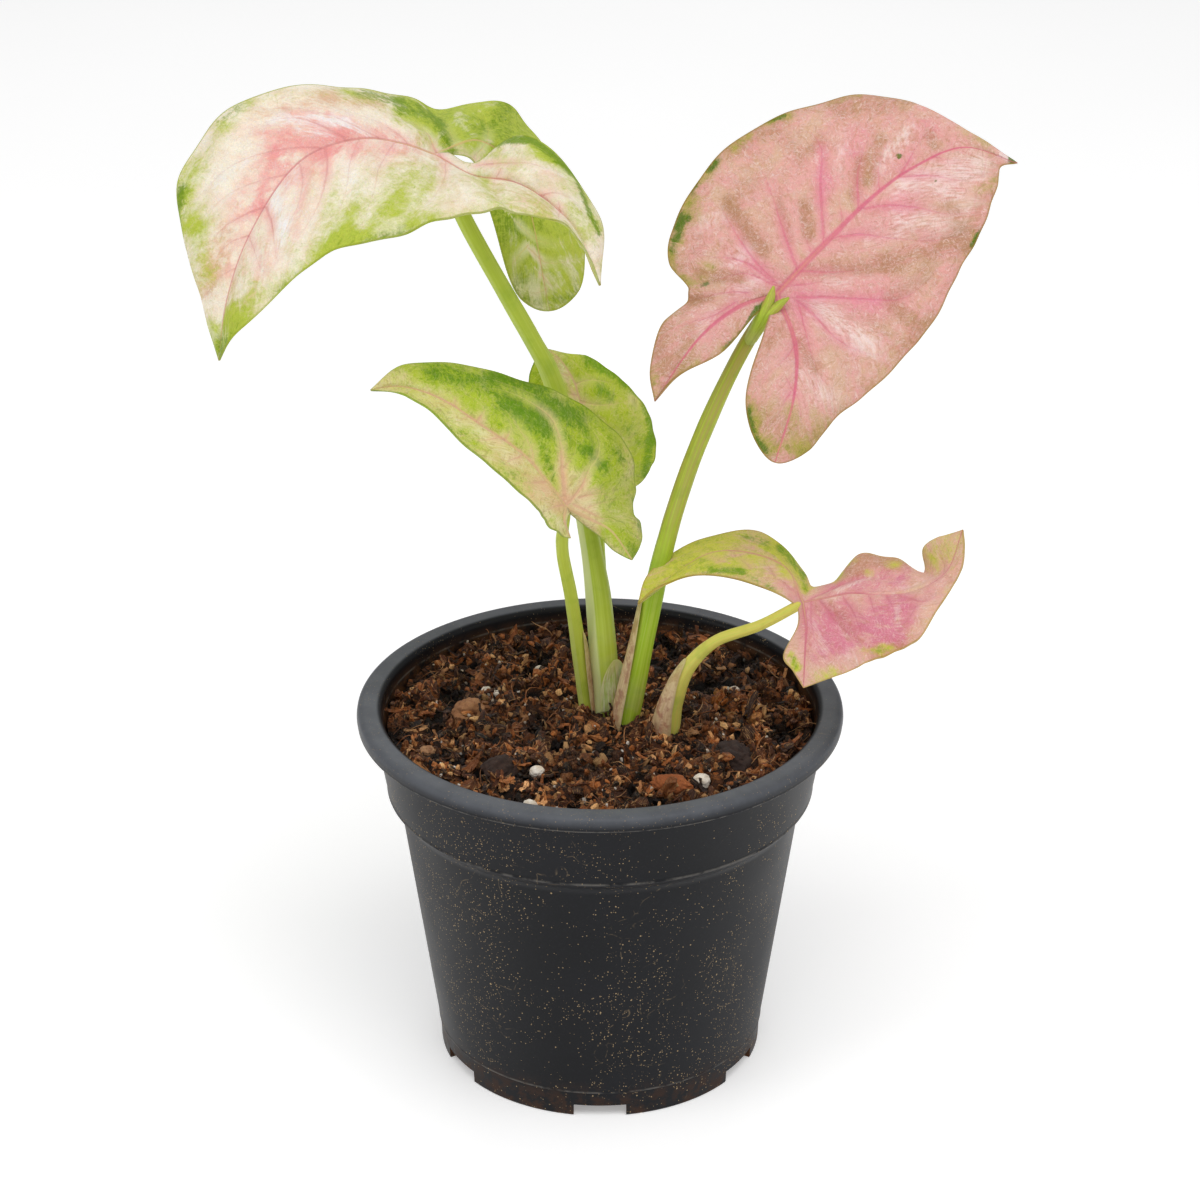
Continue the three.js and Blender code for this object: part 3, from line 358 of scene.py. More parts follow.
largeRightLeaf = {
    "name": "leaf_blade_large_right", "joint": [41, 71, 38], "tip": [97, 101.5, 36],
    "notch": [40.5, 69.5, 38],
    "midrib": [[48.5, 79, 37], [54, 84.5, 36], [62, 92.5, 35], [72.5, 100.5, 33], [84.5, 105.3, 35]],
    "sides": [{
        "lobeTip": [40, 31.5, 47], "belly": 2, "rounded": True,
        "vein": [[45, 58.5, 43], [44.5, 47, 46]],
        "inner": [[37.5, 61, 44], [33.5, 47, 47], [35, 37.5, 48]],
        "outer": [[48, 34.5, 44], [53.5, 41.5, 42], [61.5, 47.5, 40]],
        "shoulder": [[70.5, 56.5, 37], [77, 64, 35]],
        "blade": [[82, 73.5, 33], [86.5, 81.5, 32], [90.2, 89.7, 34], [92.4, 96.4, 35],
            [93.1, 100.7, 35.5]],
        "laterals": [[0.9, [48.5, 80], [55.8, 79.8], [63.1, 80.2], [69.2, 81.5]],
            [0.8, [47.8, 76.6], [52.1, 77.1], [55.8, 78.1]],
            [1, [58.7, 88.3], [63.6, 89], [70.4, 88], [80.1, 87.3], [87.9, 88.5]],
            [1.1, [64.5, 95.1], [70.4, 96.1], [77.7, 95.3], [83.7, 93.9], [91, 94.4]],
            [0.9, [74, 102.9], [80.6, 103.3], [87.4, 102.1], [93.5, 102.9]],
            [1.1, [47.8, 73.7], [55.8, 73.7], [65, 73.2], [73.3, 73.2], [78.6, 76.6], [82.5, 80.7]],
            [1.2, [48, 72.7], [52.1, 69.5], [57, 64.2], [62.6, 60.8], [69.9, 59.1]],
            [0.8, [48.2, 72], [49.9, 65.7], [51.4, 60.3], [53.8, 54], [57.7, 50.6]],
            [0.7, [46.5, 51.6], [48.5, 48.1], [49, 42.6]], [0.7, [46.3, 50.6], [43.6, 45.7], [40.7, 41.3]],
            [0.7, [47.5, 62], [44.8, 58.4], [41.7, 55.9], [39.2, 52.3]],
            [0.7, [80.1, 108], [85, 107], [93.5, 107]]],
        "green": [[41.2, 37.7, 48.5, 36.5, 2.9, 0.8], [36.8, 48.6, 37.5, 38.9, 1.5, 0.6],
            [91, 88.8, 91.8, 86.3, 1.2, 0.9], [92.3, 99.7, 95.9, 102.1, 1.9, 0.5],
            [63.1, 53.5, 65.5, 51.1, 2.4, 0.3], [80.1, 75.4, 67.9, 55.9, 1.2, 0.3],
            [46.1, 47.4, 47.3, 43.8, 2.2, 0.4], [40, 44, 54, 42, 6, 0.35]],
        "deep": [[35.8, 46.2, 36.8, 41.3, 1, 0.8], [38, 38.9, 40, 36.5, 1, 0.7],
            [90.3, 86.3, 92.3, 89.5, 0.7, 0.9], [81.5, 102, 81.7, 101.8, 0.22, 1.6],
            [100.5, 107, 102, 106, 1.2, 1.5]],
        "blush": [[48.5, 75.4, 65.5, 75.4, 5.8, 0.52], [55.8, 87.5, 72.8, 93.6, 5.3, 0.45],
            [72.8, 97.3, 87.4, 104.6, 4.9, 0.41], [48.5, 70.5, 48.5, 58.4, 4.9, 0.45],
            [60.6, 68.1, 72.8, 73, 4.9, 0.38], [41.2, 65.7, 38.8, 55.9, 2.9, 0.3]],
        "pale": [[72.8, 100.9, 92.3, 105.8, 3.4, 0.7], [72.8, 92.4, 87.4, 91.2, 2.9, 0.6],
            [53.4, 70.5, 65.5, 62, 3.4, 0.7], [55.8, 77.8, 60.6, 76.6, 2.2, 0.4],
            [48.5, 55.9, 55.8, 48.6, 2.9, 0.5], [65.5, 87.5, 72.8, 88.8, 1.9, 0.4],
            [82.5, 99.7, 89.8, 97.3, 2.9, 0.5], [98.3, 108.6, 101.5, 106.3, 1.4, 1.5]],
        "brown": [[50.9, 80.2, 70.4, 81.2, 2.2, 0.7], [70.4, 82.2, 87.4, 87.5, 2.9, 0.7],
            [70.4, 73, 75.2, 68.1, 2.2, 0.7], [80.1, 79, 72.8, 75.4, 2.9, 0.4],
            [48.5, 62, 52.1, 55.9, 2.2, 0.6], [41.2, 43.8, 50.9, 38.9, 4.9, 0.5],
            [65.5, 68.1, 70.4, 64.4, 1.9, 0.4], [72.8, 60.8, 80.1, 68.1, 2.4, 0.4],
            [85, 94.8, 89.8, 87.5, 2.9, 0.5], [41.2, 62, 43.6, 65.7, 1.5, 0.4]],
    }, {
        "lobeTip": [12.5, 45.5, 47], "belly": 2, "rounded": False,
        "vein": [[32.5, 68, 41], [23.5, 61, 44]],
        "inner": [[36, 66, 41], [28, 57, 44], [17.5, 51, 47]],
        "outer": [[11.5, 52.5, 46], [14.5, 63.5, 43], [20, 69, 40]],
        "shoulder": [[20.5, 72, 39], [16, 78.5, 36]],
        "blade": [[18, 89, 32], [27, 103.5, 28], [44, 114.5, 25], [61, 119, 24], [78.5, 113.8, 30]],
        "laterals": [[1.2, [47.8, 80.7], [45.6, 86.8], [43.6, 92.9], [41.9, 98.5], [41.2, 102.6]],
            [1.2, [54.3, 89], [53.8, 96.1], [53.6, 102.6], [53.8, 109.4], [51.4, 113.6], [47.3, 113.6]],
            [1, [62.8, 96.8], [62.6, 102.6], [63.6, 108.2], [65.5, 113.8]],
            [0.9, [73.5, 104.1], [75.5, 107.5], [76.9, 110.4], [78.6, 112.8]],
            [1.2, [42.2, 77.6], [37.8, 82.4], [34.1, 87.5], [31.2, 92.2], [29.3, 95.8]],
            [1, [41.9, 77.3], [36.8, 81.5], [32, 83.2], [26.1, 83.7], [21.7, 85.1]],
            [0.8, [41.7, 76.8], [35.8, 79.5], [30, 78.5], [24.7, 76.8]],
            [0.8, [35.8, 74.9], [31.5, 75.1], [25.6, 73.9], [20.3, 72.5]],
            [0.8, [32.7, 72.2], [27.6, 69.1], [22.2, 67.6], [17.4, 65.7]],
            [0.6, [27.8, 69.3], [25.4, 64.4], [21.7, 60.3]],
            [0.6, [51.2, 85.1], [49.7, 88.8], [49.2, 93.6]],
            [0.6, [58.7, 93.4], [58.2, 97.3], [58.9, 100.9]],
            [0.7, [67.7, 100.7], [67.9, 105.8], [69.4, 110.6]],
            [0.6, [41.9, 98.2], [40, 103.3], [36.8, 107]], [0.6, [82, 108], [84.5, 110.4], [87.9, 111.4]]],
        "green": [[19.3, 87.5, 21.7, 98.5, 2.2, 0.8], [21.7, 99.7, 27.8, 105.8, 1.7, 0.7],
            [32.7, 109.4, 36.3, 112.3, 1.5, 0.8], [41.2, 116.2, 46.1, 117.5, 1.5, 0.8],
            [16.9, 83.9, 18.1, 80.2, 1.9, 0.6], [20.5, 77.8, 25.4, 77.1, 1.9, 0.6],
            [24.2, 96.1, 23, 92.4, 1.9, 0.5], [13.2, 65.7, 15.7, 69.3, 1.2, 0.6],
            [41.2, 73, 35.1, 64.4, 1.2, 1.2], [35.1, 64.4, 30.3, 60.8, 1.2, 1],
            [24.2, 82.2, 27.1, 80.7, 1.5, 0.5], [13.2, 53.5, 13.7, 49.9, 1.7, 0.5],
            [24.2, 57.9, 16.9, 52.3, 1, 0.4], [63.1, 122.1, 55.8, 120.9, 1, 0.5],
            [88.6, 113.1, 94.7, 110.6, 1, 0.5], [14, 54, 22, 60, 3, 0.25]],
        "deep": [[18.6, 91.2, 21, 92.4, 1.2, 0.9], [21.7, 99.7, 23.4, 101.6, 0.7, 0.9],
            [26.6, 105.1, 28.5, 106.5, 1, 0.8], [40.7, 116.5, 44.4, 117.2, 0.7, 0.9],
            [24.9, 76.6, 26.1, 77.1, 0.7, 0.9], [38.3, 70.5, 35.8, 65.2, 1, 1.1],
            [35.1, 64.4, 31.5, 61.3, 1.1, 1.2], [18.3, 87.5, 17.8, 85.1, 1.1, 0.6],
            [41, 72, 35.1, 64.4, 1.3, 1.2], [72.6, 107.9, 72.9, 107.5, 0.3, 2.5],
            [19.3, 88, 19.5, 94, 0.9, 0.5], [100.5, 107, 102, 106, 1.2, 1.5]],
        "blush": [[38.8, 87.5, 31.5, 92.4, 3.9, 0.38], [46.1, 85.1, 43.6, 97.3, 2.4, 0.38],
            [53.8, 97.3, 53.8, 109.4, 2.9, 0.6], [58.2, 102.1, 65.5, 114.3, 3.4, 0.38],
            [70.4, 104.6, 80.1, 114.3, 3.9, 0.45], [43.6, 77.8, 33.9, 82.7, 3.4, 0.6],
            [36.3, 73, 27.8, 68.1, 2.9, 0.45], [60.6, 109.4, 60.6, 114.3, 3.4, 0.38],
            [87.4, 111.9, 72.8, 116.7, 2.2, 0.22]],
        "pale": [[32.7, 82.7, 36.3, 85.1, 2.2, 0.8], [24.2, 90, 29, 93.6, 2.4, 0.4],
            [67.9, 105.8, 75.2, 114.3, 1.9, 0.6], [38.8, 77.8, 33.9, 75.4, 1.5, 0.7],
            [58.2, 104.6, 59.4, 111.9, 1.7, 0.4], [46.1, 109.4, 48.5, 111.9, 1.9, 0.3],
            [24.2, 65.7, 27.8, 70.5, 1.5, 0.4], [98.3, 108.6, 101.5, 106.3, 1.4, 1.5]],
        "brown": [[31.5, 96.1, 39.2, 85.1, 2.2, 0.9], [35.1, 99.7, 38.8, 102.1, 2.9, 0.5],
            [49.7, 96.1, 50.9, 88.8, 1.9, 0.9], [46.1, 87.5, 43.6, 97.3, 1.2, 0.6],
            [61.9, 98.5, 63.6, 107, 1.9, 0.9], [65.5, 102.1, 67.9, 111.9, 1.9, 0.7],
            [50.9, 109.4, 53.4, 111.9, 2.2, 0.5], [46.1, 110.6, 48.5, 105.8, 2.2, 0.5],
            [58.2, 119.2, 72.8, 120.4, 3.4, 0.6], [24.2, 79, 33.9, 78.5, 1.7, 1.1],
            [21.7, 73, 26.6, 73.4, 1.5, 0.8], [21.7, 65.7, 19.3, 58.4, 2.9, 0.5],
            [24.2, 87.5, 21.7, 82.2, 2.9, 0.4], [80.1, 113.1, 81.3, 110.6, 1.7, 0.7],
            [33.9, 109.4, 43.6, 114.3, 3.4, 0.4], [14.4, 65.7, 15.7, 55.9, 2.4, 0.5]],
    }],
    "steps": 18, "rings": 46, "quilt": 0.95, "wave": 0.45, "bend": 1.15, "seed": 21, "paint": "dustyPinkLeaf",
    "swells": [[30, 88, 7, 0.8], [66, 74, 9, 0.9], [52, 52, 7, 0.8], [26, 64, 5, -0.6], [48, 104, 8, 0.7],
        [74, 92, 7, 0.5]],
}

curledLeaf = {
    "name": "leaf_blade_curled_right", "joint": [48, -0.5, 24], "tip": [85.5, 16.5, 26],
    "notch": [47, -1.5, 22],
    "midrib": [[53, 0.5, 27], [58.5, 1.5, 29], [65.5, 1, 31], [73.5, 2, 32], [81, 6.5, 31]],
    "sides": [{
        "lobeTip": [47.5, -20.5, 32], "belly": 1.5, "rounded": False,
        "vein": [[48.5, -6, 28], [48, -11.5, 31]],
        "inner": [[46.5, -6, 27], [43, -13.5, 30], [45, -16.5, 32]],
        "outer": [[52.5, -18.5, 34], [58, -16.5, 36], [62, -14.5, 37]],
        "shoulder": [[66, -13, 37], [71, -11, 37]],
        "blade": [[74.5, -8.5, 37], [78, -3, 36], [82, 3, 35], [84.5, 7.5, 33], [85.5, 13, 29]],
        "laterals": [[1, [51.4, -0.7], [51.4, -5.3], [52.4, -10.2], [54.3, -14.1]],
            [1.1, [53.8, -0.5], [56.8, -4.4], [60.2, -8], [63.1, -11.2]],
            [1, [59.4, 0.2], [61.4, -2.9], [63.3, -7.3], [65, -10.9]],
            [0.8, [65.5, 0.5], [66.5, -2.9], [67.5, -7.8]], [0.9, [69.9, 0.7], [71.3, -2.4], [71.1, -6.3]],
            [0.9, [74, 0.7], [78.9, -0.2], [82.5, 1.9], [84.5, 5.3]],
            [0.7, [76.7, -1.7], [74, -6.1], [71.1, -9.7]],
            [0.8, [50.4, -2.4], [48.5, -6.8], [47.5, -10.9]]],
        "green": [[46.8, -13.4, 47.8, -16.5, 1.2, 0.9], [63.1, -12.2, 70.4, -11.7, 1.5, 0.7],
            [72.8, -4.9, 75.2, -7.3, 1.9, 0.4], [55.8, -16.5, 58.2, -17, 1.2, 0.4],
            [83.7, 2.4, 82.5, 1.9, 1.5, 0.4], [44.8, -15.8, 63.1, -19.5, 1.2, 0.3],
            [50.9, -19.5, 55.8, -19, 1.5, 0.5], [84, 8.5, 86, 15, 3, 0.8]],
        "deep": [[47, -13.9, 47.5, -16.3, 0.7, 0.54], [66, -12.4, 69.9, -11.7, 0.7, 0.36]],
        "blush": [[53.4, -4.9, 70.4, -4.9, 6.3, 0.9], [53.4, -12.2, 67.9, -9.7, 4.4, 0.72],
            [70.4, -9.7, 72.8, -2.4, 4.4, 0.63], [80.1, 2.4, 86.2, 9.7, 2.4, 0.54]],
        "pale": [[50.9, -3.6, 54.6, -12.2, 1.5, 0.42], [60.6, -13.4, 63.1, -15.8, 1.7, 0.42],
            [71.6, 0, 72.8, -7.3, 1.2, 0.35], [54.6, 0, 58.2, 0.7, 1, 0.49],
            [77.7, -2.4, 81.3, 0.5, 1.5, 0.35], [57.7, -6.1, 60.6, -9.7, 1, 0.35]],
        "brown": [[59.4, -2.9, 63.1, -9.7, 1.5, 0.5], [67.9, -13.4, 72.8, -12.2, 2.2, 0.5],
            [52.1, -2.9, 53.8, 0, 1.2, 0.5], [55.8, 0, 60.6, -9.7, 0.7, 0.6]],
    }, {
        "lobeTip": [9, -1, 18], "belly": 1, "rounded": False,
        "vein": [[44, 8, 19], [27.5, 11.5, 17]],
        "inner": [[39.5, 2.5, 23], [23.5, 6, 22], [13, 2.5, 21]],
        "outer": [[11.5, 6, 15], [24, 14.5, 11], [38.5, 16, 12]],
        "shoulder": [[48, 8, 14], [50.5, 3, 18]],
        "blade": [[56.5, 5, 16], [62, 10.5, 14], [70.5, 10, 15], [77, 6, 18], [77, 12.5, 18]],
        "laterals": [[1.1, [51.4, 0.5], [56.3, 2.7], [60.6, 4.6], [66, 5.8], [71.1, 4.9]],
            [0.8, [59.4, 0.7], [65.5, 1.9], [72.8, 2.4], [78.9, 4.9]],
            [0.9, [47.8, 1], [47, 5.8], [45.1, 9.7], [42.7, 13.4]],
            [0.8, [47.3, 1.9], [43.6, 4.9], [40, 5.6], [35.8, 6.1]],
            [0.7, [42.4, 6.1], [40, 9.7], [36.3, 12.6]], [0.7, [36.3, 8.3], [32.7, 11.4], [29, 13.4]],
            [0.7, [29, 9.7], [25.4, 11.4], [21.7, 12.6]], [0.8, [82.5, 2.9], [83.7, 7.3], [82.5, 10.9]]],
        "green": [[12, 2.4, 24.2, 9.7, 4.5, 1.2], [24.2, 12.2, 43.6, 9.7, 6, 1.1],
            [43.6, 13.4, 49.7, 2.4, 2.4, 0.8], [69.9, 8.3, 72.3, 7.8, 1.5, 0.6], [65, 6.6, 66, 6.3, 1, 0.9],
            [57, 4.9, 58.7, 6.1, 1.2, 0.8], [60.6, 8.5, 62.1, 9.2, 1, 0.6],
            [82.5, 9.7, 86.2, 13.4, 4, 0.9]],
        "deep": [[35.1, 15.1, 43.6, 12.6, 1, 0.48], [43.6, 12.6, 49.2, 6.1, 1, 0.54],
            [49.2, 6.1, 49.9, 1.9, 0.7, 0.48], [13.2, 1, 16.4, 2.4, 1.2, 0.54],
            [27.1, 7.3, 34.4, 6.8, 1, 0.66], [34.4, 6.8, 42.4, 2.4, 1, 0.66],
            [44.8, 0.7, 47.8, -1.5, 0.7, 0.42], [57.2, 4.9, 58.7, 6.1, 0.7, 0.48]],
        "blush": [[55.8, 2.4, 72.8, 4.9, 3.4, 0.72], [63.1, 7.3, 72.8, 7.3, 2.9, 0.45],
            [31.5, 9.2, 46.1, 3.6, 1.9, 0.15], [80.1, 4.9, 86.2, 9.7, 2.2, 0.45]],
        "pale": [[57.7, 1.9, 65.5, 5.6, 0.7, 0.63], [24.2, 11.7, 43.6, 7.3, 1.7, 0.35],
            [80.1, 9.7, 82.5, 13.4, 1.7, 0.28], [72.8, 3.6, 80.1, 4.9, 1.5, 0.28]],
        "brown": [[61.9, 9.7, 71.6, 10.2, 2.8, 1.1], [58.2, 6.1, 63.1, 7.3, 2, 0.8]],
    }],
    "steps": 14, "rings": 36, "quilt": 0.75, "wave": 0.35, "bend": 1, "seed": 33, "paint": "rosePinkLeaf",
    "swells": [[62, -6, 5, 0.7], [54, -9, 4, -0.5], [72, -3, 4, 0.5]],
}

backLeaf = {
    "name": "leaf_blade_back", "joint": [0, 31.5, 2], "tip": [-12.5, 60, 13],
    "notch": [0.5, 29.5, 1],
    "midrib": [[-1, 36.5, 4], [-2.5, 42, 6], [-4.5, 47, 8], [-6.5, 53, 10], [-9.5, 57.5, 12]],
    "sides": [{
        "lobeTip": [-5.5, 22.5, 4], "belly": 1.5, "rounded": False,
        "vein": [[-1.5, 29, 3], [-3.5, 26, 4]],
        "inner": [[-1, 28, 2], [-2, 25.5, 3], [-3.5, 23.5, 3]],
        "outer": [[-8.5, 24, 5], [-11, 28, 6], [-12, 31.5, 7]],
        "shoulder": [[-14, 36, 8], [-15.5, 41, 9]],
        "blade": [[-16.5, 45, 10], [-17, 50, 11], [-17, 53.5, 12], [-16, 56.5, 13], [-14.5, 59, 13]],
        "laterals": [[0.7, [-7.9, 54.7], [-9.9, 55.4], [-11.6, 57.1]],
            [0.7, [-6.2, 49.9], [-9.9, 50.6], [-12.8, 52.3]]],
        "green": [[-12.3, 55.9, -9.9, 51.1, 3.9, 0.8], [-16, 54.7, -14.7, 52.3, 2.4, 1]],
        "deep": [],
        "blush": [[-10.8, 58.8, -6, 49.1, 0.7, 0.7]],
        "pale": [[-9.4, 57.1, -8.2, 53.5, 1.2, 0.5]],
        "brown": [],
    }, {
        "lobeTip": [8, 27.5, -4], "belly": 1.5, "rounded": False,
        "vein": [[3, 30, 0], [5, 29, -2]],
        "inner": [[2.5, 28.5, 0], [4.5, 27.5, -2], [6.5, 27, -3]],
        "outer": [[10, 29, -5], [11.5, 31, -5], [13, 34, -4]],
        "shoulder": [[13.5, 39, -3], [12, 44.5, -1]],
        "blade": [[9.5, 49, 2], [5.5, 53, 4], [1.5, 56, 7], [-3, 58.5, 9], [-8, 59, 11]],
        "laterals": [[0.9, [-6.7, 52.3], [-2.6, 53.5], [2.3, 52.8], [6.7, 49.9]],
            [0.9, [-6, 48.6], [-0.1, 47.4], [5.9, 48.1], [10.1, 49.1]],
            [0.9, [-5, 46.2], [-0.1, 42.6], [4.7, 38.9], [9.6, 40.6]],
            [0.7, [2.3, 36.5], [5.9, 35.3], [9.6, 35.3]]],
        "green": [[-7.4, 57.1, 4.7, 53.5, 4.4, 0.8], [-0.1, 48.6, 9.6, 38.9, 5.8, 0.8],
            [9.6, 34, 9.6, 30.4, 3.4, 0.8]],
        "deep": [[-2.6, 58.4, 5.9, 54.7, 1.9, 0.9], [-0.1, 52.3, 2.3, 48.6, 1.7, 0.6],
            [10.8, 48.6, 13.2, 38.9, 1.2, 0.8], [12, 38.9, 10.8, 30.4, 1.2, 0.7],
            [5.9, 52.3, 9.6, 49.9, 1.5, 0.6], [7.1, 41.3, 9.6, 38.9, 1.7, 0.4]],
        "blush": [[-10.8, 58.8, -6, 49.1, 0.7, 0.7]],
        "pale": [[-8.2, 57.1, -7, 53.5, 1.2, 0.5]],
        "brown": [],
    }],
    "steps": 12, "rings": 30, "quilt": 0.5, "wave": 0.3, "bend": 1, "seed": 41, "paint": "limeGreenLeaf",
    "swells": [[4, 44, 6, 0.6]],
}

bladeLook = {
    "thickness": 0.5,
    "bellyReach": 20,
    "normalRounds": 10,
    "grooveDepth": 0.3, "grooveWidth": 1.0,
    "ribHeight": 0.55, "ribWidth": 0.8,
    "eyeRange": 810.5,  # mm from the eye to the layout's centre
    "veinSteps": 22, "veinWide": 0.42, "veinThin": 0.1, "veinSink": 0.16, "veinLift": 0.22,
    "quiltReach": 2.6,
}


def seen(flat):
    # Layout points as they look from the front, drawn on the plane through the pot's axis
    return flat[..., :2] * (bladeLook["eyeRange"] / (bladeLook["eyeRange"] - flat[..., 2]))[..., None]


def strokeSum(spot, strokes):
    # strokes as seen from the front: from across, up, to across, up, radius, amount
    total = np.zeros(spot.shape[:-1])
    for x0, y0, x1, y1, radius, amount in strokes:
        start, run = np.array([x0, y0]), np.array([x1 - x0, y1 - y0])
        share = np.clip(((spot - start) @ run) / max(run @ run, 1e-6), 0, 1)
        away = np.sum((spot - start - share[..., None] * run) ** 2, axis=-1)
        total += amount * np.exp(-away / (radius * radius))
    return total


def liftedVein(route, spots, depths):
    # A vein drawn as seen from the front, laid on the blade
    line = smoothCurve([[x, y, 0] for x, y in route])
    out, last = [], None
    for i in range(bladeLook["veinSteps"] + 1):
        p = line(i / bladeLook["veinSteps"])[:2]
        cost = np.sum((spots - p) ** 2, axis=1)
        if last is not None:
            cost = cost + 0.03 * (depths - last) ** 2
        last = depths[np.argpartition(cost, 6)[:6]].mean()
        shrink = (bladeLook["eyeRange"] - last) / bladeLook["eyeRange"]
        out.append(place([p[0] * shrink, p[1] * shrink, last]))
    return np.array(out)


def veinDistances(laterals, grid, facing):
    # For each drawn vein: distance, signed distance along the blade and share of the vein's length
    flat = toLayout(grid)
    spots, depths = seen(flat).reshape(-1, 2), flat[..., 2].ravel()
    points, up = grid.reshape(-1, 3), facing.reshape(-1, 3)
    far, signed, width = [], [], []
    for strength, *route in laterals:
        line = liftedVein(route, spots, depths)
        best = np.full(len(points), 1e9)
        side = np.zeros(len(points))
        share = np.zeros(len(points))
        for i, (a, b) in enumerate(zip(line, line[1:])):
            run = b - a
            t = np.clip((points - a) @ run / (run @ run + 1e-9), 0, 1)
            off = points - a - t[:, None] * run
            away = np.linalg.norm(off, axis=1)
            onBlade = off - np.sum(off * up, axis=1)[:, None] * up
            turn = np.sign(np.sum(np.cross(run, onBlade) * up, axis=1))
            nearer = away < best
            best = np.where(nearer, away, best)
            side = np.where(nearer, turn * np.linalg.norm(onBlade, axis=1), side)
            share = np.where(nearer, (i + t) / (len(line) - 1), share)
        far.append(best.reshape(grid.shape[:2]))
        signed.append(side.reshape(grid.shape[:2]))
        wide, thin = bladeLook["veinWide"] * strength, bladeLook["veinThin"]
        width.append((wide + (thin - wide) * share ** 0.8).reshape(grid.shape[:2]))
    return np.array(far), np.array(signed), np.array(width)


def marginSpokes(leaf, side):
    # Feet on the veins and points on the margin, and how far along the margin each one is
    joint, tip, lobeTip = place(leaf["joint"]), place(leaf["tip"]), place(side["lobeTip"])
    midrib = smoothCurve([joint] + [place(p) for p in leaf["midrib"]] + [tip])
    lobeVein = smoothCurve([joint] + [place(p) for p in side["vein"]] + [lobeTip])
    out = [place(leaf["notch"])] + [place(p) for p in side["inner"]] + [lobeTip]
    back = [place(p) for p in side["outer"] + side["shoulder"] + side["blade"]] + [tip]
    feet = [0] + lobeFeet + [1] + lobeFeet[::-1] + [0, 0] + bladeFeet + [1]
    spans = len(feet) - 1
    lobeEnd = len(out) - 1
    lobeReturn = lobeEnd + len(lobeFeet) + 1
    whole = smoothCurve(out + back)
    outward, homeward = smoothCurve(out), smoothCurve([lobeTip] + back)
    steps = leaf["steps"]
    rows = []
    for i in range(spans):
        vein = lobeVein if i < lobeReturn else midrib
        for j in range(steps):
            share = j / steps
            where = i + share
            if side["rounded"]:
                edge = whole(where / spans)
            elif where < lobeEnd:
                edge = outward(where / lobeEnd)
            else:
                edge = homeward((where - lobeEnd) / (spans - lobeEnd))
            foot = feet[i] + (feet[i + 1] - feet[i]) * share
            rows.append((vein(foot), edge, where, foot))
    rows.append((tip, tip, float(spans), 1.0))
    return rows


def swellSum(flat, swells):
    total = np.zeros(flat.shape[:-1])
    for across, up, radius, height in swells:
        away = (flat[..., 0] - across) ** 2 + (flat[..., 1] - up) ** 2
        total += height * np.exp(-away / (radius * radius))
    return total


def gridNormals(points, faces, rounds):
    normals = np.zeros_like(points)
    cross = np.cross(points[faces[:, 1]] - points[faces[:, 0]], points[faces[:, 2]] - points[faces[:, 0]])
    for k in range(3):
        np.add.at(normals, faces[:, k], cross)
    normals /= np.linalg.norm(normals, axis=1, keepdims=True) + 1e-12
    for _ in range(rounds):
        smoother = normals.copy()
        total = normals[faces].sum(axis=1)
        for k in range(3):
            np.add.at(smoother, faces[:, k], total)
        normals = smoother / (np.linalg.norm(smoother, axis=1, keepdims=True) + 1e-12)
    return normals


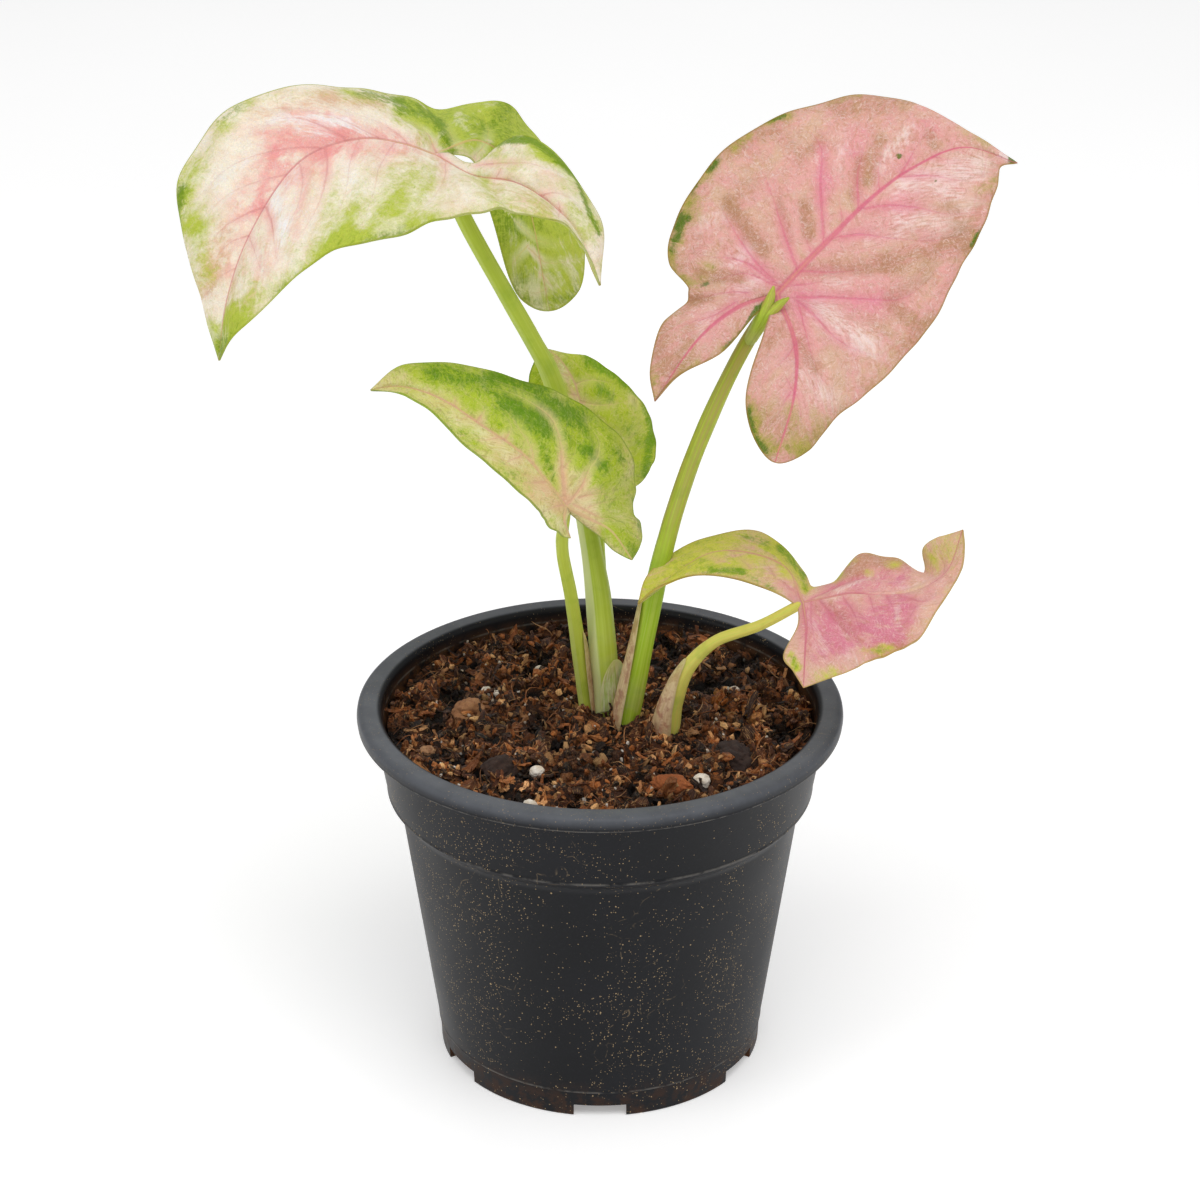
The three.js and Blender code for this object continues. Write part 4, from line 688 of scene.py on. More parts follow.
def leafBlade(leaf, material):
    rings = leaf["rings"]
    look = bladeLook
    draw = random.Random(leaf["seed"])
    ripple = [draw.uniform(0, 6.28) for _ in range(4)]
    points, numbers = [], {}
    sheets, attributes, rims = [], [], []
    for sideIndex, side in enumerate(leaf["sides"]):
        rows = marginSpokes(leaf, side)
        feet, edges, where, along = (np.array(values) for values in zip(*rows))
        v = np.linspace(0, 1, rings + 1)
        span = np.linalg.norm(edges - feet, axis=1)
        reach = np.minimum(1, span / look["bellyReach"])
        reach[0] = 0
        grid = feet[:, None, :] * (1 - v)[None, :, None] + edges[:, None, :] * v[None, :, None]
        grid = grid + (side["belly"] * reach)[:, None, None] * (4 * v * (1 - v))[None, :, None] * towardAxis
        # the blade's streaks follow this number, swept toward the tip as they go out
        sweep = np.interp(where, [0, 3, 4.2, 5.4, 6.6, 10.4, 15], [1, 1, 0, -1, -1, 1, 1])
        flow = where[:, None] + 0.5 - sweep[:, None] * (leaf["bend"] * (v ** 1.25))[None, :]
        flow += 0.12 * np.sin(where[:, None] * 2.1 + sideIndex * 2) * v[None, :]
        # distances in mm
        fromVein = np.linalg.norm(grid - feet[:, None, :], axis=2)
        fromEdge = np.linalg.norm(grid - edges[:, None, :], axis=2)
        facing = np.cross(np.gradient(grid, axis=0), np.gradient(grid, axis=1))
        facing /= np.linalg.norm(facing, axis=2, keepdims=True) + 1e-9
        far, signed, width = veinDistances(side["laterals"], grid, facing)
        nearest = far.min(axis=0)
        # relief: the blade swells between its veins
        flat = toLayout(grid)
        body = stepped(0.03, 0.25, v)[None, :] * (1 - stepped(0.86, 1.0, v))[None, :]
        between = 1 - np.exp(-(nearest / look["quiltReach"]) ** 2)
        quilt = leaf["quilt"] * (between - 0.5) * body * reach[:, None]
        sunk = -look["veinSink"] * np.exp(-(nearest / 0.6) ** 2) * body
        groove = -look["grooveDepth"] * np.exp(-(fromVein / look["grooveWidth"]) ** 2)
        groove = groove * (1 - 0.6 * along)[:, None]
        wave = leaf["wave"] * stepped(0.6, 1.0, v)[None, :] * (
            np.sin(where * 3.3 + ripple[0]) + 0.6 * np.sin(where * 7.1 + ripple[1]))[:, None]
        wave = wave * reach[:, None] * (span > 6)[:, None]
        fadeTip = np.minimum(1, span / 8)[:, None]
        relief = (quilt + sunk + groove + wave) * fadeTip
        rib = look["ribHeight"] * np.exp(-(fromVein / look["ribWidth"]) ** 2)
        rib = rib * (1 - 0.75 * along)[:, None] * fadeTip
        rib += look["veinLift"] * np.exp(-(nearest / 0.5) ** 2) * body
        swell = swellSum(flat, leaf["swells"]) * stepped(0.0, 0.3, v)[None, :] * fadeTip
        spots = seen(flat)
        green, blush, pale, brown, deep = (strokeSum(spots, side[key])
                                           for key in ("green", "blush", "pale", "brown", "deep"))
        count = len(rows)
        ids = np.zeros((count, rings + 1), dtype=int)
        for i in range(count):
            for k in range(rings + 1):
                p = grid[i, k]
                key = (round(p[0] * 500), round(p[1] * 500), round(p[2] * 500))
                if key not in numbers:
                    numbers[key] = len(points)
                    points.append((p, relief[i, k], rib[i, k], swell[i, k]))
                ids[i, k] = numbers[key]
        # each face keeps to one vein, the nearest, so that its line stays sharp across the face
        mean = far[:, :-1, :-1] + far[:, 1:, :-1] + far[:, 1:, 1:] + far[:, :-1, 1:]
        chosen = mean.argmin(axis=0)
        reach3 = np.stack([fromVein, fromEdge, np.repeat(along[:, None], rings + 1, axis=1)], axis=2)
        tint3 = np.stack([green, blush, np.zeros_like(green)], axis=2)
        marks3 = np.stack([pale, brown, deep], axis=2)

        def corner(vein, i, k):
            return ((flow[i, k], signed[vein, i, k], width[vein, i, k]),
                    reach3[i, k], tint3[i, k], marks3[i, k])

        flip = sideIndex == 1
        for i in range(count - 1):
            for k in range(rings):
                quad = [(i, k), (i + 1, k), (i + 1, k + 1), (i, k + 1)]
                kept = []
                for q in quad:
                    if not kept or ids[q] != ids[kept[-1]]:
                        kept.append(q)
                if len(kept) > 1 and ids[kept[0]] == ids[kept[-1]]:
                    kept.pop()
                if len(kept) < 3 or len({ids[q] for q in kept}) < len(kept):
                    continue
                if flip:
                    kept.reverse()
                sheets.append([ids[q] for q in kept])
                attributes.append([corner(chosen[i, k], *q) for q in kept])
            a, b = ids[i, rings], ids[i + 1, rings]
            if a != b:
                vein = chosen[i, rings - 1]
                edgeValues = [corner(vein, i, rings), corner(vein, i + 1, rings)]
                rims.append(([b, a] if flip else [a, b], edgeValues[::-1] if flip else edgeValues))
    base, relief, rib, swell = (np.array(values) for values in zip(*points))
    triangles = np.array([[f[0], f[j], f[j + 1]] for f in sheets for j in range(1, len(f) - 1)])
    normals = gridNormals(base, triangles, look["normalRounds"])
    facing = np.sign((normals @ towardAxis).mean()) or 1.0
    middle = base + normals * relief[:, None] * facing + swell[:, None] * towardAxis
    normals = gridNormals(middle, triangles, look["normalRounds"])
    half = look["thickness"] / 2
    # the face toward the viewer is the upper one; the ribs stand out on the other
    frontRib = np.where(facing < 0, rib, 0)
    rearRib = np.where(facing > 0, rib, 0)
    front = middle + normals * (half + frontRib)[:, None]
    rear = middle - normals * (half + rearRib)[:, None]
    count = len(base)
    faces, corners = [], {"veins": [], "reach": [], "tint": [], "marks": []}
    frontUnder, rearUnder = (0.0, 1.0) if facing > 0 else (1.0, 0.0)

    def addFace(face, values, under):
        faces.append([int(n) for n in face])
        for vein, distances, tint, marks in values:
            corners["veins"].append(vein)
            corners["reach"].append(distances)
            corners["tint"].append((tint[0], tint[1], under))
            corners["marks"].append(marks)

    for face, values in zip(sheets, attributes):
        addFace(face, values, frontUnder)
        addFace([n + count for n in reversed(face)], values[::-1], rearUnder)
    for (a, b), (va, vb) in rims:
        addFace([a, a + count, b + count, b], [va, va, vb, vb], 0.5)
    piece = meshPiece(leaf["name"] + "_fine", np.vstack([front, rear]), faces, material, corners=corners)
    print(piece.name, sum(len(f) - 2 for f in faces), "triangles")
    return piece


leafPaints = {
    # two ground colours, blush, light and deep green, pale and brown streaks, veins, margin and
    # underside; ribWide and ribThin in mm, the rest are strengths
    "creamPinkLeaf": {
        "ground": "FDF3E0", "groundToo": "FAE3D2", "blush": "F49E9C", "green": "B2C61E", "deep": "6A9000",
        "pale": "FFFDFB", "brown": "D69A6C", "vein": "DB8F90", "greenVein": "DDDD74", "margin": "9CAC30",
        "under": "BACB28", "ribWide": 0.6, "ribThin": 0.26, "veinShow": 0.5, "netAndHighlightShow": 0.3, "foldShadeShow": 0.22,
        "flecks": 0.45, "fleckGreen": 0.1, "deepGain": 0.85, "brownGain": 1.2, "edgeBrown": 0.1,
    },
    "mottledGreenLeaf": {
        "ground": "E8DCA2", "groundToo": "D6D670", "blush": "EDC09E", "green": "AFC81E", "deep": "568C00",
        "pale": "F6F0C4", "brown": "A3884A", "vein": "E2B294", "greenVein": "E2DC8C", "margin": "7FA022",
        "under": "AFC468", "ribWide": 0.6, "ribThin": 0.3, "veinShow": 0.65, "netAndHighlightShow": 0.5, "foldShadeShow": 0.55,
        "flecks": 0.65, "fleckGreen": 0.12, "deepGain": 0.9, "brownGain": 1.0, "edgeBrown": 0.0,
    },
    "limeGreenLeaf": {
        "ground": "E6E496", "groundToo": "DDE070", "blush": "EFC9A8", "green": "BFD62A", "deep": "6FA60A",
        "pale": "F8F6CC", "brown": "A3984A", "vein": "E8C0A0", "greenVein": "EAE690", "margin": "86A822",
        "under": "B9CF68", "ribWide": 0.6, "ribThin": 0.3, "veinShow": 0.65, "netAndHighlightShow": 0.5, "foldShadeShow": 0.45,
        "flecks": 0.6, "fleckGreen": 0.12, "deepGain": 1.1, "brownGain": 1.0, "edgeBrown": 0.0,
    },
    "dustyPinkLeaf": {
        "ground": "E9A8A4", "groundToo": "DDB398", "blush": "E98CA0", "green": "A8A63C", "deep": "3F7000",
        "pale": "FCE4E0", "brown": "A87848", "vein": "DE6C8A", "greenVein": "E8B08A", "margin": "9A7C36",
        "under": "C9AF8C", "ribWide": 1.15, "ribThin": 0.3, "veinShow": 0.45,
        "netAndHighlightShow": 0.5, "foldShadeShow": 0.42,
        "flecks": 0.45, "fleckGreen": 0.0, "deepGain": 1.4, "brownGain": 1.3, "edgeBrown": 0.42,
    },
    "rosePinkLeaf": {
        "ground": "EBB4A8", "groundToo": "E6C3A0", "blush": "DE8098", "green": "CFD440", "deep": "6E9C08",
        "pale": "FDE4DE", "brown": "B47C50", "vein": "D47488", "greenVein": "E4CE8C", "margin": "B69C44",
        "under": "CBCB80", "ribWide": 0.7, "ribThin": 0.28, "veinShow": 0.4,
        "netAndHighlightShow": 0.45, "foldShadeShow": 0.35,
        "flecks": 0.35, "fleckGreen": 0.0, "deepGain": 0.9, "brownGain": 1.2, "edgeBrown": 0.3,
    },
}


def leafMaterial(name, paint):
    s = Shade(name)
    spot = s.spot()
    flow, away, width = s.read("veins")
    fromVein, fromEdge, along = s.read("reach")
    green, blush, under = s.read("tint")
    pale, brown, deep = s.read("marks")

    # noises that run with the side veins, in mm, and noises that don't
    streak = s.noise(s.join(s.times(flow, 5.0), s.times(fromVein, 0.22), under), 0.6, 4, 0.62)
    fineStreak = s.noise(s.join(s.times(flow, 16.0), s.times(fromVein, 0.5), 3.0), 1.0, 4, 0.62)
    patch = s.noise(spot, 130, 4, 0.62, 0.6)
    fleck = s.noise(spot, 560, 4, 0.7, 1.2)
    speck = s.noise(spot, 1500, 3, 0.7)
    grain = s.noise(spot, 3800, 2, 0.6)
    coarseWrinkle = s.noise(spot, 330, 3, 0.6, 2.2)
    fineWrinkle = s.noise(spot, 800, 2, 0.6, 2.0)
    ridge = s.ramp(s.apart(coarseWrinkle, 0.5), 0.0, 0.045, 1.0, 0.0)
    fineRidge = s.ramp(s.apart(fineWrinkle, 0.5), 0.0, 0.06, 1.0, 0.0)
    wander = s.add(s.times(streak, 0.5), s.times(patch, 0.5))
    combed = s.add(s.times(streak, 0.4), s.times(fineStreak, 0.6))

    def wash(amount, thin, fine, share):
        # soft like the brush stroke that laid it, thicker and thinner, with a share in flecks
        soft = s.ramp(s.times(amount, s.ramp(thin, 0.36, 0.64, 0.2, 1.6)), 0.0, 1.15)
        grainy = s.ramp(s.add(amount, s.times(s.less(fine, 0.5), 2.6)), 0.2, 1.0)
        return s.add(s.times(soft, 1 - share), s.times(grainy, share))

    near = s.maths("ABSOLUTE", s.add(away, s.times(s.less(s.noise(spot, 420, 2), 0.5), 0.35)))
    lateral = s.ramp(s.maths("DIVIDE", near, width), 0.2, 1.3, 1.0, 0.0)
    lateral = s.times(lateral, s.ramp(width, 0.1, 0.36, 0.25, 1.0))
    lateral = s.times(lateral, s.ramp(fromEdge, 1.0, 4.0))
    halo = s.ramp(near, 0.3, 2.6, 1.0, 0.0)
    midWidth = s.ramp(along, 0.0, 1.0, paint["ribWide"], paint["ribThin"])
    fromMid = s.maths("DIVIDE", fromVein, midWidth)
    midrib = s.ramp(fromMid, 0.35, 1.2, 1.0, 0.0)
    midHalo = s.ramp(fromVein, 0.5, 6.0, 1.0, 0.0)
    # a vein that follows the margin a few mm in
    edgeWander = s.add(fromEdge, s.times(s.less(s.noise(spot, 70, 2), 0.5), 3.0))
    rimVein = s.ramp(s.apart(edgeWander, 4.2), 0.05, 0.35, 0.35, 0.0)
    # ground, with blush and with paler and browner streaks
    ground = s.mix(s.ramp(wander, 0.40, 0.62), paint["ground"], paint["groundToo"])
    blushMask = wash(blush, wander, fineStreak, 0.2)
    colour = s.mix(blushMask, ground, paint["blush"])
    paleMask = wash(s.add(pale, s.times(halo, 0.12)), combed, fineStreak, 0.4)
    colour = s.mix(s.times(paleMask, 0.85), colour, paint["pale"])
    edged = s.times(s.ramp(fromEdge, 0.4, 6.0), -paint["edgeBrown"])
    tanned = s.add(s.times(brown, paint["brownGain"]), s.add(edged, paint["edgeBrown"]))
    brownMask = wash(tanned, combed, fleck, 0.35)
    colour = s.mix(s.times(brownMask, 0.65), colour, paint["brown"])
    # green, in flecks that gather away from the veins
    amount = s.add(green, s.ramp(fromEdge, 0.3, 4.0, 0.14, 0.0))
    amount = s.less(s.add(amount, paint["fleckGreen"]), s.add(s.times(halo, 0.16), s.times(midHalo, 0.12)))
    greenMask = wash(amount, wander, s.add(s.times(fleck, 0.7), s.times(speck, 0.3)), paint["flecks"])
    colour = s.mix(s.times(greenMask, 0.92), colour, paint["green"])
    mottle = s.add(s.times(fleck, 0.6), s.times(fineStreak, 0.4))
    deepAmount = s.add(s.times(deep, paint["deepGain"]), s.times(amount, 0.22))
    deepMask = wash(s.less(deepAmount, s.times(halo, 0.25)), mottle, mottle, 0.7)
    colour = s.mix(s.times(deepMask, 0.9), colour, paint["deep"])
    # fine wrinkles: a net of pale lines on the crests, partly real and partly a painted highlight, and
    # painted shade in the folds
    netAndHighlightColour = s.mix(greenMask, paint["pale"], paint["greenVein"])
    netAndHighlight = s.add(s.times(ridge, s.ramp(fleck, 0.4, 0.6)), s.times(fineRidge, 0.45))
    netAndHighlight = s.times(netAndHighlight, s.less(1.0, s.times(deepMask, 0.6)))
    colour = s.mix(s.times(netAndHighlight, paint["netAndHighlightShow"]), colour, netAndHighlightColour)
    # painted shade: the folds of the wrinkles are darker
    foldShade = s.add(s.ramp(coarseWrinkle, 0.36, 0.47, 0.6, 0.0), s.ramp(combed, 0.36, 0.48, 0.6, 0.0))
    foldShadeColour = s.mix(greenMask, paint["brown"], paint["deep"])
    colour = s.mix(s.times(foldShade, paint["foldShadeShow"]), colour, foldShadeColour)
    # veins and margin
    sideVein = s.mix(s.times(greenMask, 0.85), paint["vein"], paint["greenVein"])
    colour = s.mix(s.times(s.ramp(near, 0.2, 2.4, 0.45, 0.0), s.ramp(width, 0.12, 0.34)), colour,
                   s.mix(greenMask, paint["blush"], paint["ground"]))
    colour = s.mix(s.times(lateral, paint["veinShow"]), colour, sideVein)
    colour = s.mix(s.times(s.times(rimVein, s.ramp(patch, 0.45, 0.6)), paint["veinShow"]), colour, sideVein)
    midVein = s.mix(s.times(greenMask, 0.5), paint["vein"], paint["greenVein"])
    colour = s.mix(s.times(midrib, 0.8), colour, midVein)
    colour = s.mix(s.times(s.ramp(fromMid, 0.0, 0.6, 0.5, 0.0), s.ramp(along, 0.0, 0.5, 1.0, 0.0)), colour,
                   paint["greenVein"])
    colour = s.mix(s.ramp(fromEdge, 0.15, 0.6, 0.7, 0.0), colour, paint["margin"])
    # the underside is paler and more even
    colour = s.mix(s.times(s.ramp(under, 0.6, 0.9), 0.5), colour, paint["under"])
    colour = s.mix(s.ramp(grain, 0.3, 0.7, 0.12, 0.0), colour, (0.25, 0.2, 0.08, 1.0))
    height = s.add(s.times(lateral, -1.2), s.times(ridge, -0.5))
    height = s.add(height, s.add(s.times(speck, 0.5), s.times(fineStreak, 2.0)))
    height = s.add(height, s.add(s.times(coarseWrinkle, 2.5), s.times(patch, 3.0)))
    normal = s.bump(height, 0.5, 0.0003)
    rough = s.add(0.44, s.times(speck, 0.16))
    return s.finish(Base_Color=colour, Roughness=rough, Normal=normal, Subsurface_Weight=0.15,
                    Subsurface_Radius=(0.0016, 0.0012, 0.0006), Subsurface_Scale=1.0,
                    Specular_IOR_Level=0.11)


paints = {name: leafMaterial(name, paint) for name, paint in leafPaints.items()}
leaves = [largeLeftLeaf, middleLeaf, largeRightLeaf, curledLeaf, backLeaf]
for leaf in leaves:
    piece = leafBlade(leaf, paints[leaf["paint"]])
    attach(piece, "root")
    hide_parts(leaf["name"])
print("leaf blades done")


# Routes are [across, up, toward, radius]; look is yellow, waxy, sheathed
stalks = {
    "middle": {
        "route": [[0, -40.5, -18, 2.3], [-3, -26.5, -12, 2.1], [-7, 1, 10, 1.6], [-9, 13, 21, 1.5],
                  [-8, 22, 26.6, 1.3]],
        "lines": 7, "look": (0.5, 0.3, 0.1),
    },
    "largeLeft": {
        "route": [[1, -40, -20, 3], [1.5, -22, -9, 3.3], [0.5, -10, -2, 3.4], [-0.5, 1, 2, 3.1],
                  [-2.5, 14.5, 6, 2.5], [-6.5, 36, 11, 2.4], [-12, 54, 19, 2.3], [-16, 61.5, 24, 2.1],
                  [-22.5, 72.5, 31, 2], [-31, 87.5, 38.5, 1.9], [-37.8, 102, 44.6, 1.5]],
        "lines": 9, "look": (0.42, 1.0, 0.5),
    },
    "largeRight": {
        "route": [[4, -42, -16, 3], [6.5, -28.5, -7, 3.3], [10.5, -9.5, 4, 2.7], [15, 11, 14, 2.3],
                  [18.5, 23.5, 19, 2.1], [23.5, 37.5, 26, 2], [32, 56, 33, 1.8], [41.2, 71.2, 36.8, 1.6]],
        "lines": 9, "look": (0.25, 0.0, 0.9),
    },
    "curled": {
        "route": [[7.5, -43, -13, 2.8], [15.5, -32.5, -4, 3.4], [17.5, -24.5, 2, 2.7], [21, -16.5, 7, 1.9],
                  [27.5, -10, 11, 1.4], [38, -6, 17, 1.3], [48.2, -0.5, 22.8, 1.2]],
        "lines": 7, "look": (0.9, 0.0, 0.2),
    },
    "back": {
        "route": [[1, -24.5, -14, 1.9], [1, -10, -8, 1.7], [0, 7.5, -5, 1.5], [-0.5, 20.5, -2, 1.4],
                  [0, 31.5, 0.9, 1.2]],
        "lines": 7, "look": (0.4, 0.0, 0.1),
    },
}
# the stalk of the large right leaf forks into two short ears in front of the blade
stalkEars = {
    "routes": [[[34.2, 59.5, 34.6, 1.3], [37.2, 65, 38.9, 1.5], [39.3, 69.6, 41.2, 1.1],
                [40.0, 72.2, 41.9, 0.4]],
               [[34.6, 59.5, 34.6, 1.3], [38.2, 65, 39.0, 1.4], [41.4, 68.2, 41.4, 1.0],
                [43.4, 69.6, 41.9, 0.4]]],
    "sides": 16, "steps": 14, "lines": 3, "ridge": 0.05, "look": (0.3, 0, 0.85),
}
crown = {
    "route": [[2, -57, -26, 3.6], [2, -50, -24, 5], [2.5, -42, -19, 5.6], [3, -34, -15, 5],
              [3, -30, -13, 3.6]],
    "sides": 24, "steps": 24, "lines": 5, "ridge": 0.05, "look": (0.5, 0, 1.0),
}
rootsRule = {
    "count": 8, "seed": 11, "radius": 1.1,
    "sides": 10, "steps": 30, "lines": 3, "ridge": 0.04, "look": (1.0, 0, 1.0),
}
stalkLook = {"sides": 36, "stepLength": 1.0, "ridge": 0.02}


def lehmer(seed):
    # The same seeded numbers as the plain roots are drawn from
    state = [seed]

    def draw():
        state[0] = (state[0] * 16807) % 2147483647
        return state[0] / 2147483647

    return draw


def tube(route, sides, steps, lines, ridge, look, inMm=False):
    # A closed tapered tube; each corner keeps [angle share, share of length, radius] and its look
    curve = smoothCurve([np.array(p[:3]) if inMm else place(p) for p in route])
    radiusCurve = smoothCurve([[p[3], 0, 0] for p in route])
    points = []
    side = np.array([1.0, 0.0, 0.0])
    for i in range(steps + 1):
        t = i / steps
        along = curve(min(t + 0.004, 1)) - curve(max(t - 0.004, 0))
        along /= np.linalg.norm(along)
        side = side - side.dot(along) * along
        side /= np.linalg.norm(side)
        other = np.cross(along, side)
        radius = radiusCurve(t)[0]
        if i in (0, steps):
            radius *= 0.55
        centre = curve(t) + along * (0.25 * ((i == steps) - (i == 0)))
        for j in range(sides):
            angle = j / sides * 2 * math.pi
            r = radius * (1 + ridge * math.sin(lines * angle + 1.3 * math.sin(3 * t)))
            r += 0.05 * radius * noise.noise(Vector((math.cos(angle), math.sin(angle), t * 14 + radius)))
            points.append(centre + side * r * math.cos(angle) + other * r * math.sin(angle))
    faces, where, looks = [], [], []

    def corner(i, j):
        return (j / sides, i / steps, radiusCurve(i / steps)[0])

    for i in range(steps):
        for j in range(sides):
            nxt = (j + 1) % sides
            a, b = i * sides + j, i * sides + nxt
            faces.append([a, b, b + sides, a + sides])
            where += [corner(i, j), corner(i, j + 1), corner(i + 1, j + 1), corner(i + 1, j)]
            looks += [look] * 4
    first, last = len(points), len(points) + 1
    points += [sum(points[:sides]) / sides, sum(points[steps * sides:(steps + 1) * sides]) / sides]
    for j in range(sides):
        nxt = (j + 1) % sides
        faces.append([first, nxt, j])
        faces.append([last, steps * sides + j, steps * sides + nxt])
        where += [corner(0, j)] * 3 + [corner(steps, j)] * 3
        looks += [look] * 6
    return points, faces, where, looks


def plainTube(route, rule, inMm=False):
    return tube(route, rule["sides"], rule["steps"], rule["lines"], rule["ridge"], rule["look"], inMm)


def gathered(name, parts, material):
    points, faces, where, looks = [], [], [], []
    for partPoints, partFaces, partWhere, partLooks in parts:
        start = len(points)
        points += list(partPoints)
        faces += [[n + start for n in face] for face in partFaces]
        where += partWhere
        looks += partLooks
    return meshPiece(name, points, faces, material, corners={"where": where, "look": looks})


def rootRoutes():
    draw = lehmer(rootsRule["seed"])
    foot = place(crown["route"][0])
    routes = []
    for i in range(rootsRule["count"]):
        angle = ((i + 0.5 * draw()) / rootsRule["count"]) * 2 * math.pi
        reach = 20 + 12 * draw()
        depth = 30 + 22 * draw()
        route = []
        for n, t in enumerate([0, 0.3, 0.65, 1]):
            bend = angle + 0.5 * t * (draw() - 0.5)
            route.append([foot[0] + math.cos(bend) * reach * t, foot[1] + math.sin(bend) * reach * t,
                          foot[2] + 1.5 - depth * t * t, rootsRule["radius"] * (1 - 0.12 * n)])
        routes.append(route)
    return routes


def sheath(route, low, high, lift, thickness, spread, look):
    # A thin wing that clasps a stalk between two shares of its length, tapering to a point.
    # spread gives its two edges as angles in degrees, 0 across to the right and -90 to the front
    curve = smoothCurve([place(p) for p in route])
    radiusCurve = smoothCurve([[p[3], 0, 0] for p in route])
    steps, cuts = 40, 16
    mid, reach = (math.radians(a) for a in ((spread[0] + spread[1]) / 2, abs(spread[1] - spread[0]) / 2))
    outer, inner = [], []
    for i in range(steps + 1):
        share = i / steps
        t = low + (high - low) * share
        along = curve(min(t + 0.004, 1)) - curve(max(t - 0.004, 0))
        along /= np.linalg.norm(along)
        side = np.array([1.0, 0, 0]) - along[0] * along
        side /= np.linalg.norm(side)
        other = np.cross(along, side)
        radius = radiusCurve(t)[0]
        narrow = math.sqrt(max(0.0, 1 - share ** 2.2)) * 0.97 + 0.03
        half = reach * narrow
        for k in range(cuts + 1):
            a = mid + half * (2 * k / cuts - 1)
            edge = abs(2 * k / cuts - 1)
            away = radius * 1.04 + lift * (edge ** 3) * narrow + 0.05
            thick = thickness * (1 - 0.6 * edge ** 4) * min(1.0, 0.3 + 3 * (1 - share))
            d = side * math.cos(a) + other * math.sin(a)
            outer.append(curve(t) + d * (away + thick))
            inner.append(curve(t) + d * away)
    row = cuts + 1
    count = len(outer)
    faces, where = [], []

    def corner(n):
        n %= count
        return (n % row / cuts, n // row / steps, 1.0)

    def face(*ids):
        faces.append(list(ids))
        where.extend(corner(n) for n in ids)

    for i in range(steps):
        for k in range(cuts):
            a, b = i * row + k, i * row + k + 1
            face(a, b, b + row, a + row)
            face(a + count, a + row + count, b + row + count, b + count)
        a, c = i * row, (i + 1) * row
        face(a, c, c + count, a + count)
        a, c = a + cuts, c + cuts
        face(a, a + count, c + count, c)
    for k in range(cuts):
        a, b = k, k + 1
        face(a, a + count, b + count, b)
        a, b = steps * row + k, steps * row + k + 1
        face(a, b, b + count, a + count)
    return outer + inner, faces, where, [look] * len(where)


def stalkMaterial():
    s = Shade("stalkGreen")
    spot = s.spot()
    angle, length, radius = s.read("where")
    yellow, waxy, sheathed = s.read("look")
    around = s.times(angle, 6.2832)
    ring = s.join(s.maths("COSINE", around), s.maths("SINE", around), 0.0)
    x, y, _ = s.split(ring)
    lines = s.noise(s.join(s.times(x, 4.0), s.times(y, 4.0), s.times(length, 3.0)), 1.0, 3, 0.6)
    fine = s.noise(s.join(s.times(x, 15.0), s.times(y, 15.0), s.times(length, 7.0)), 1.0, 2, 0.6)
    blot = s.noise(spot, 160, 3, 0.6)
    colour = s.mix(s.ramp(yellow, 0.0, 1.0), "98C414", "DCCF66")
    # the upper part of a sheathed stalk is olive, with tan streaks
    olive = s.times(s.ramp(length, 0.34, 0.6), s.ramp(sheathed, 0.6, 0.9))
    colour = s.mix(s.times(olive, 0.7), colour, "A6A93C")
    colour = s.mix(s.ramp(lines, 0.44, 0.66, 0.0, 0.55), colour, "C6D65A")
    colour = s.mix(s.times(olive, s.ramp(lines, 0.4, 0.55, 0.6, 0.0)), colour, "BCA867")
    colour = s.mix(s.ramp(fine, 0.55, 0.75, 0.0, 0.22), colour, "DBE29A")
    colour = s.mix(s.ramp(blot, 0.5, 0.75, 0.0, 0.25), colour, "6E9C18")
    # the lower part of a waxy stalk has a pale left side with a crisp edge
    paleSide = s.times(s.ramp(s.apart(angle, 0.56), 0.13, 0.15, 1.0, 0.0), waxy)
    paleSide = s.times(paleSide, s.ramp(length, 0.38, 0.55, 1.0, 0.12))
    colour = s.mix(s.times(paleSide, 0.65), colour, "DDE2AC")
    # the foot of a stalk is paler and a little pink where it was sheathed
    footMask = s.times(s.ramp(length, 0.10, 0.34, 1.0, 0.0), s.ramp(blot, 0.35, 0.6))
    colour = s.mix(s.times(footMask, s.times(sheathed, 0.25)), colour, "D9C3A4")
    normal = s.bump(s.add(lines, s.times(fine, 0.4)), 0.3, 0.0003)
    return s.finish(Base_Color=colour, Roughness=s.add(0.34, s.times(fine, 0.14)), Normal=normal,
                    Subsurface_Weight=0.2, Subsurface_Radius=(0.002, 0.002, 0.0006),
                    Subsurface_Scale=1.0, Specular_IOR_Level=0.2)


def sheathMaterial():
    s = Shade("dryingSheath")
    spot = s.spot()
    across, length, _ = s.read("where")
    dry, pink, fresh = s.read("look")
    lines = s.noise(s.join(s.times(across, 16.0), s.times(length, 2.0), 0.0), 1.0, 3, 0.6)
    blot = s.noise(spot, 420, 3, 0.65)
    colour = s.mix(s.ramp(lines, 0.38, 0.66), "D3B287", "EACBA4")
    colour = s.mix(s.times(s.ramp(blot, 0.42, 0.66), pink), colour, "C98E76")
    freshColour = s.mix(s.ramp(lines, 0.4, 0.62), "B5CB70", "DDE3B4")
    colour = s.mix(fresh, colour, freshColour)
    colour = s.mix(s.times(s.ramp(s.add(blot, s.times(lines, 0.4)), 0.62, 0.86), dry), colour, "8E6244")
    edge = s.ramp(s.apart(across, 0.5), 0.38, 0.5)
    colour = s.mix(s.times(edge, 0.5), colour, "DCCB92")
    colour = s.mix(s.ramp(s.add(length, s.times(lines, 0.3)), 0.75, 1.2, 0.0, 0.6), colour, "C9C26E")
    normal = s.bump(lines, 0.35, 0.0003)
    return s.finish(Base_Color=colour, Roughness=0.5, Normal=normal, Subsurface_Weight=0.15,
                    Subsurface_Radius=(0.002, 0.0015, 0.0008), Subsurface_Scale=1.0)


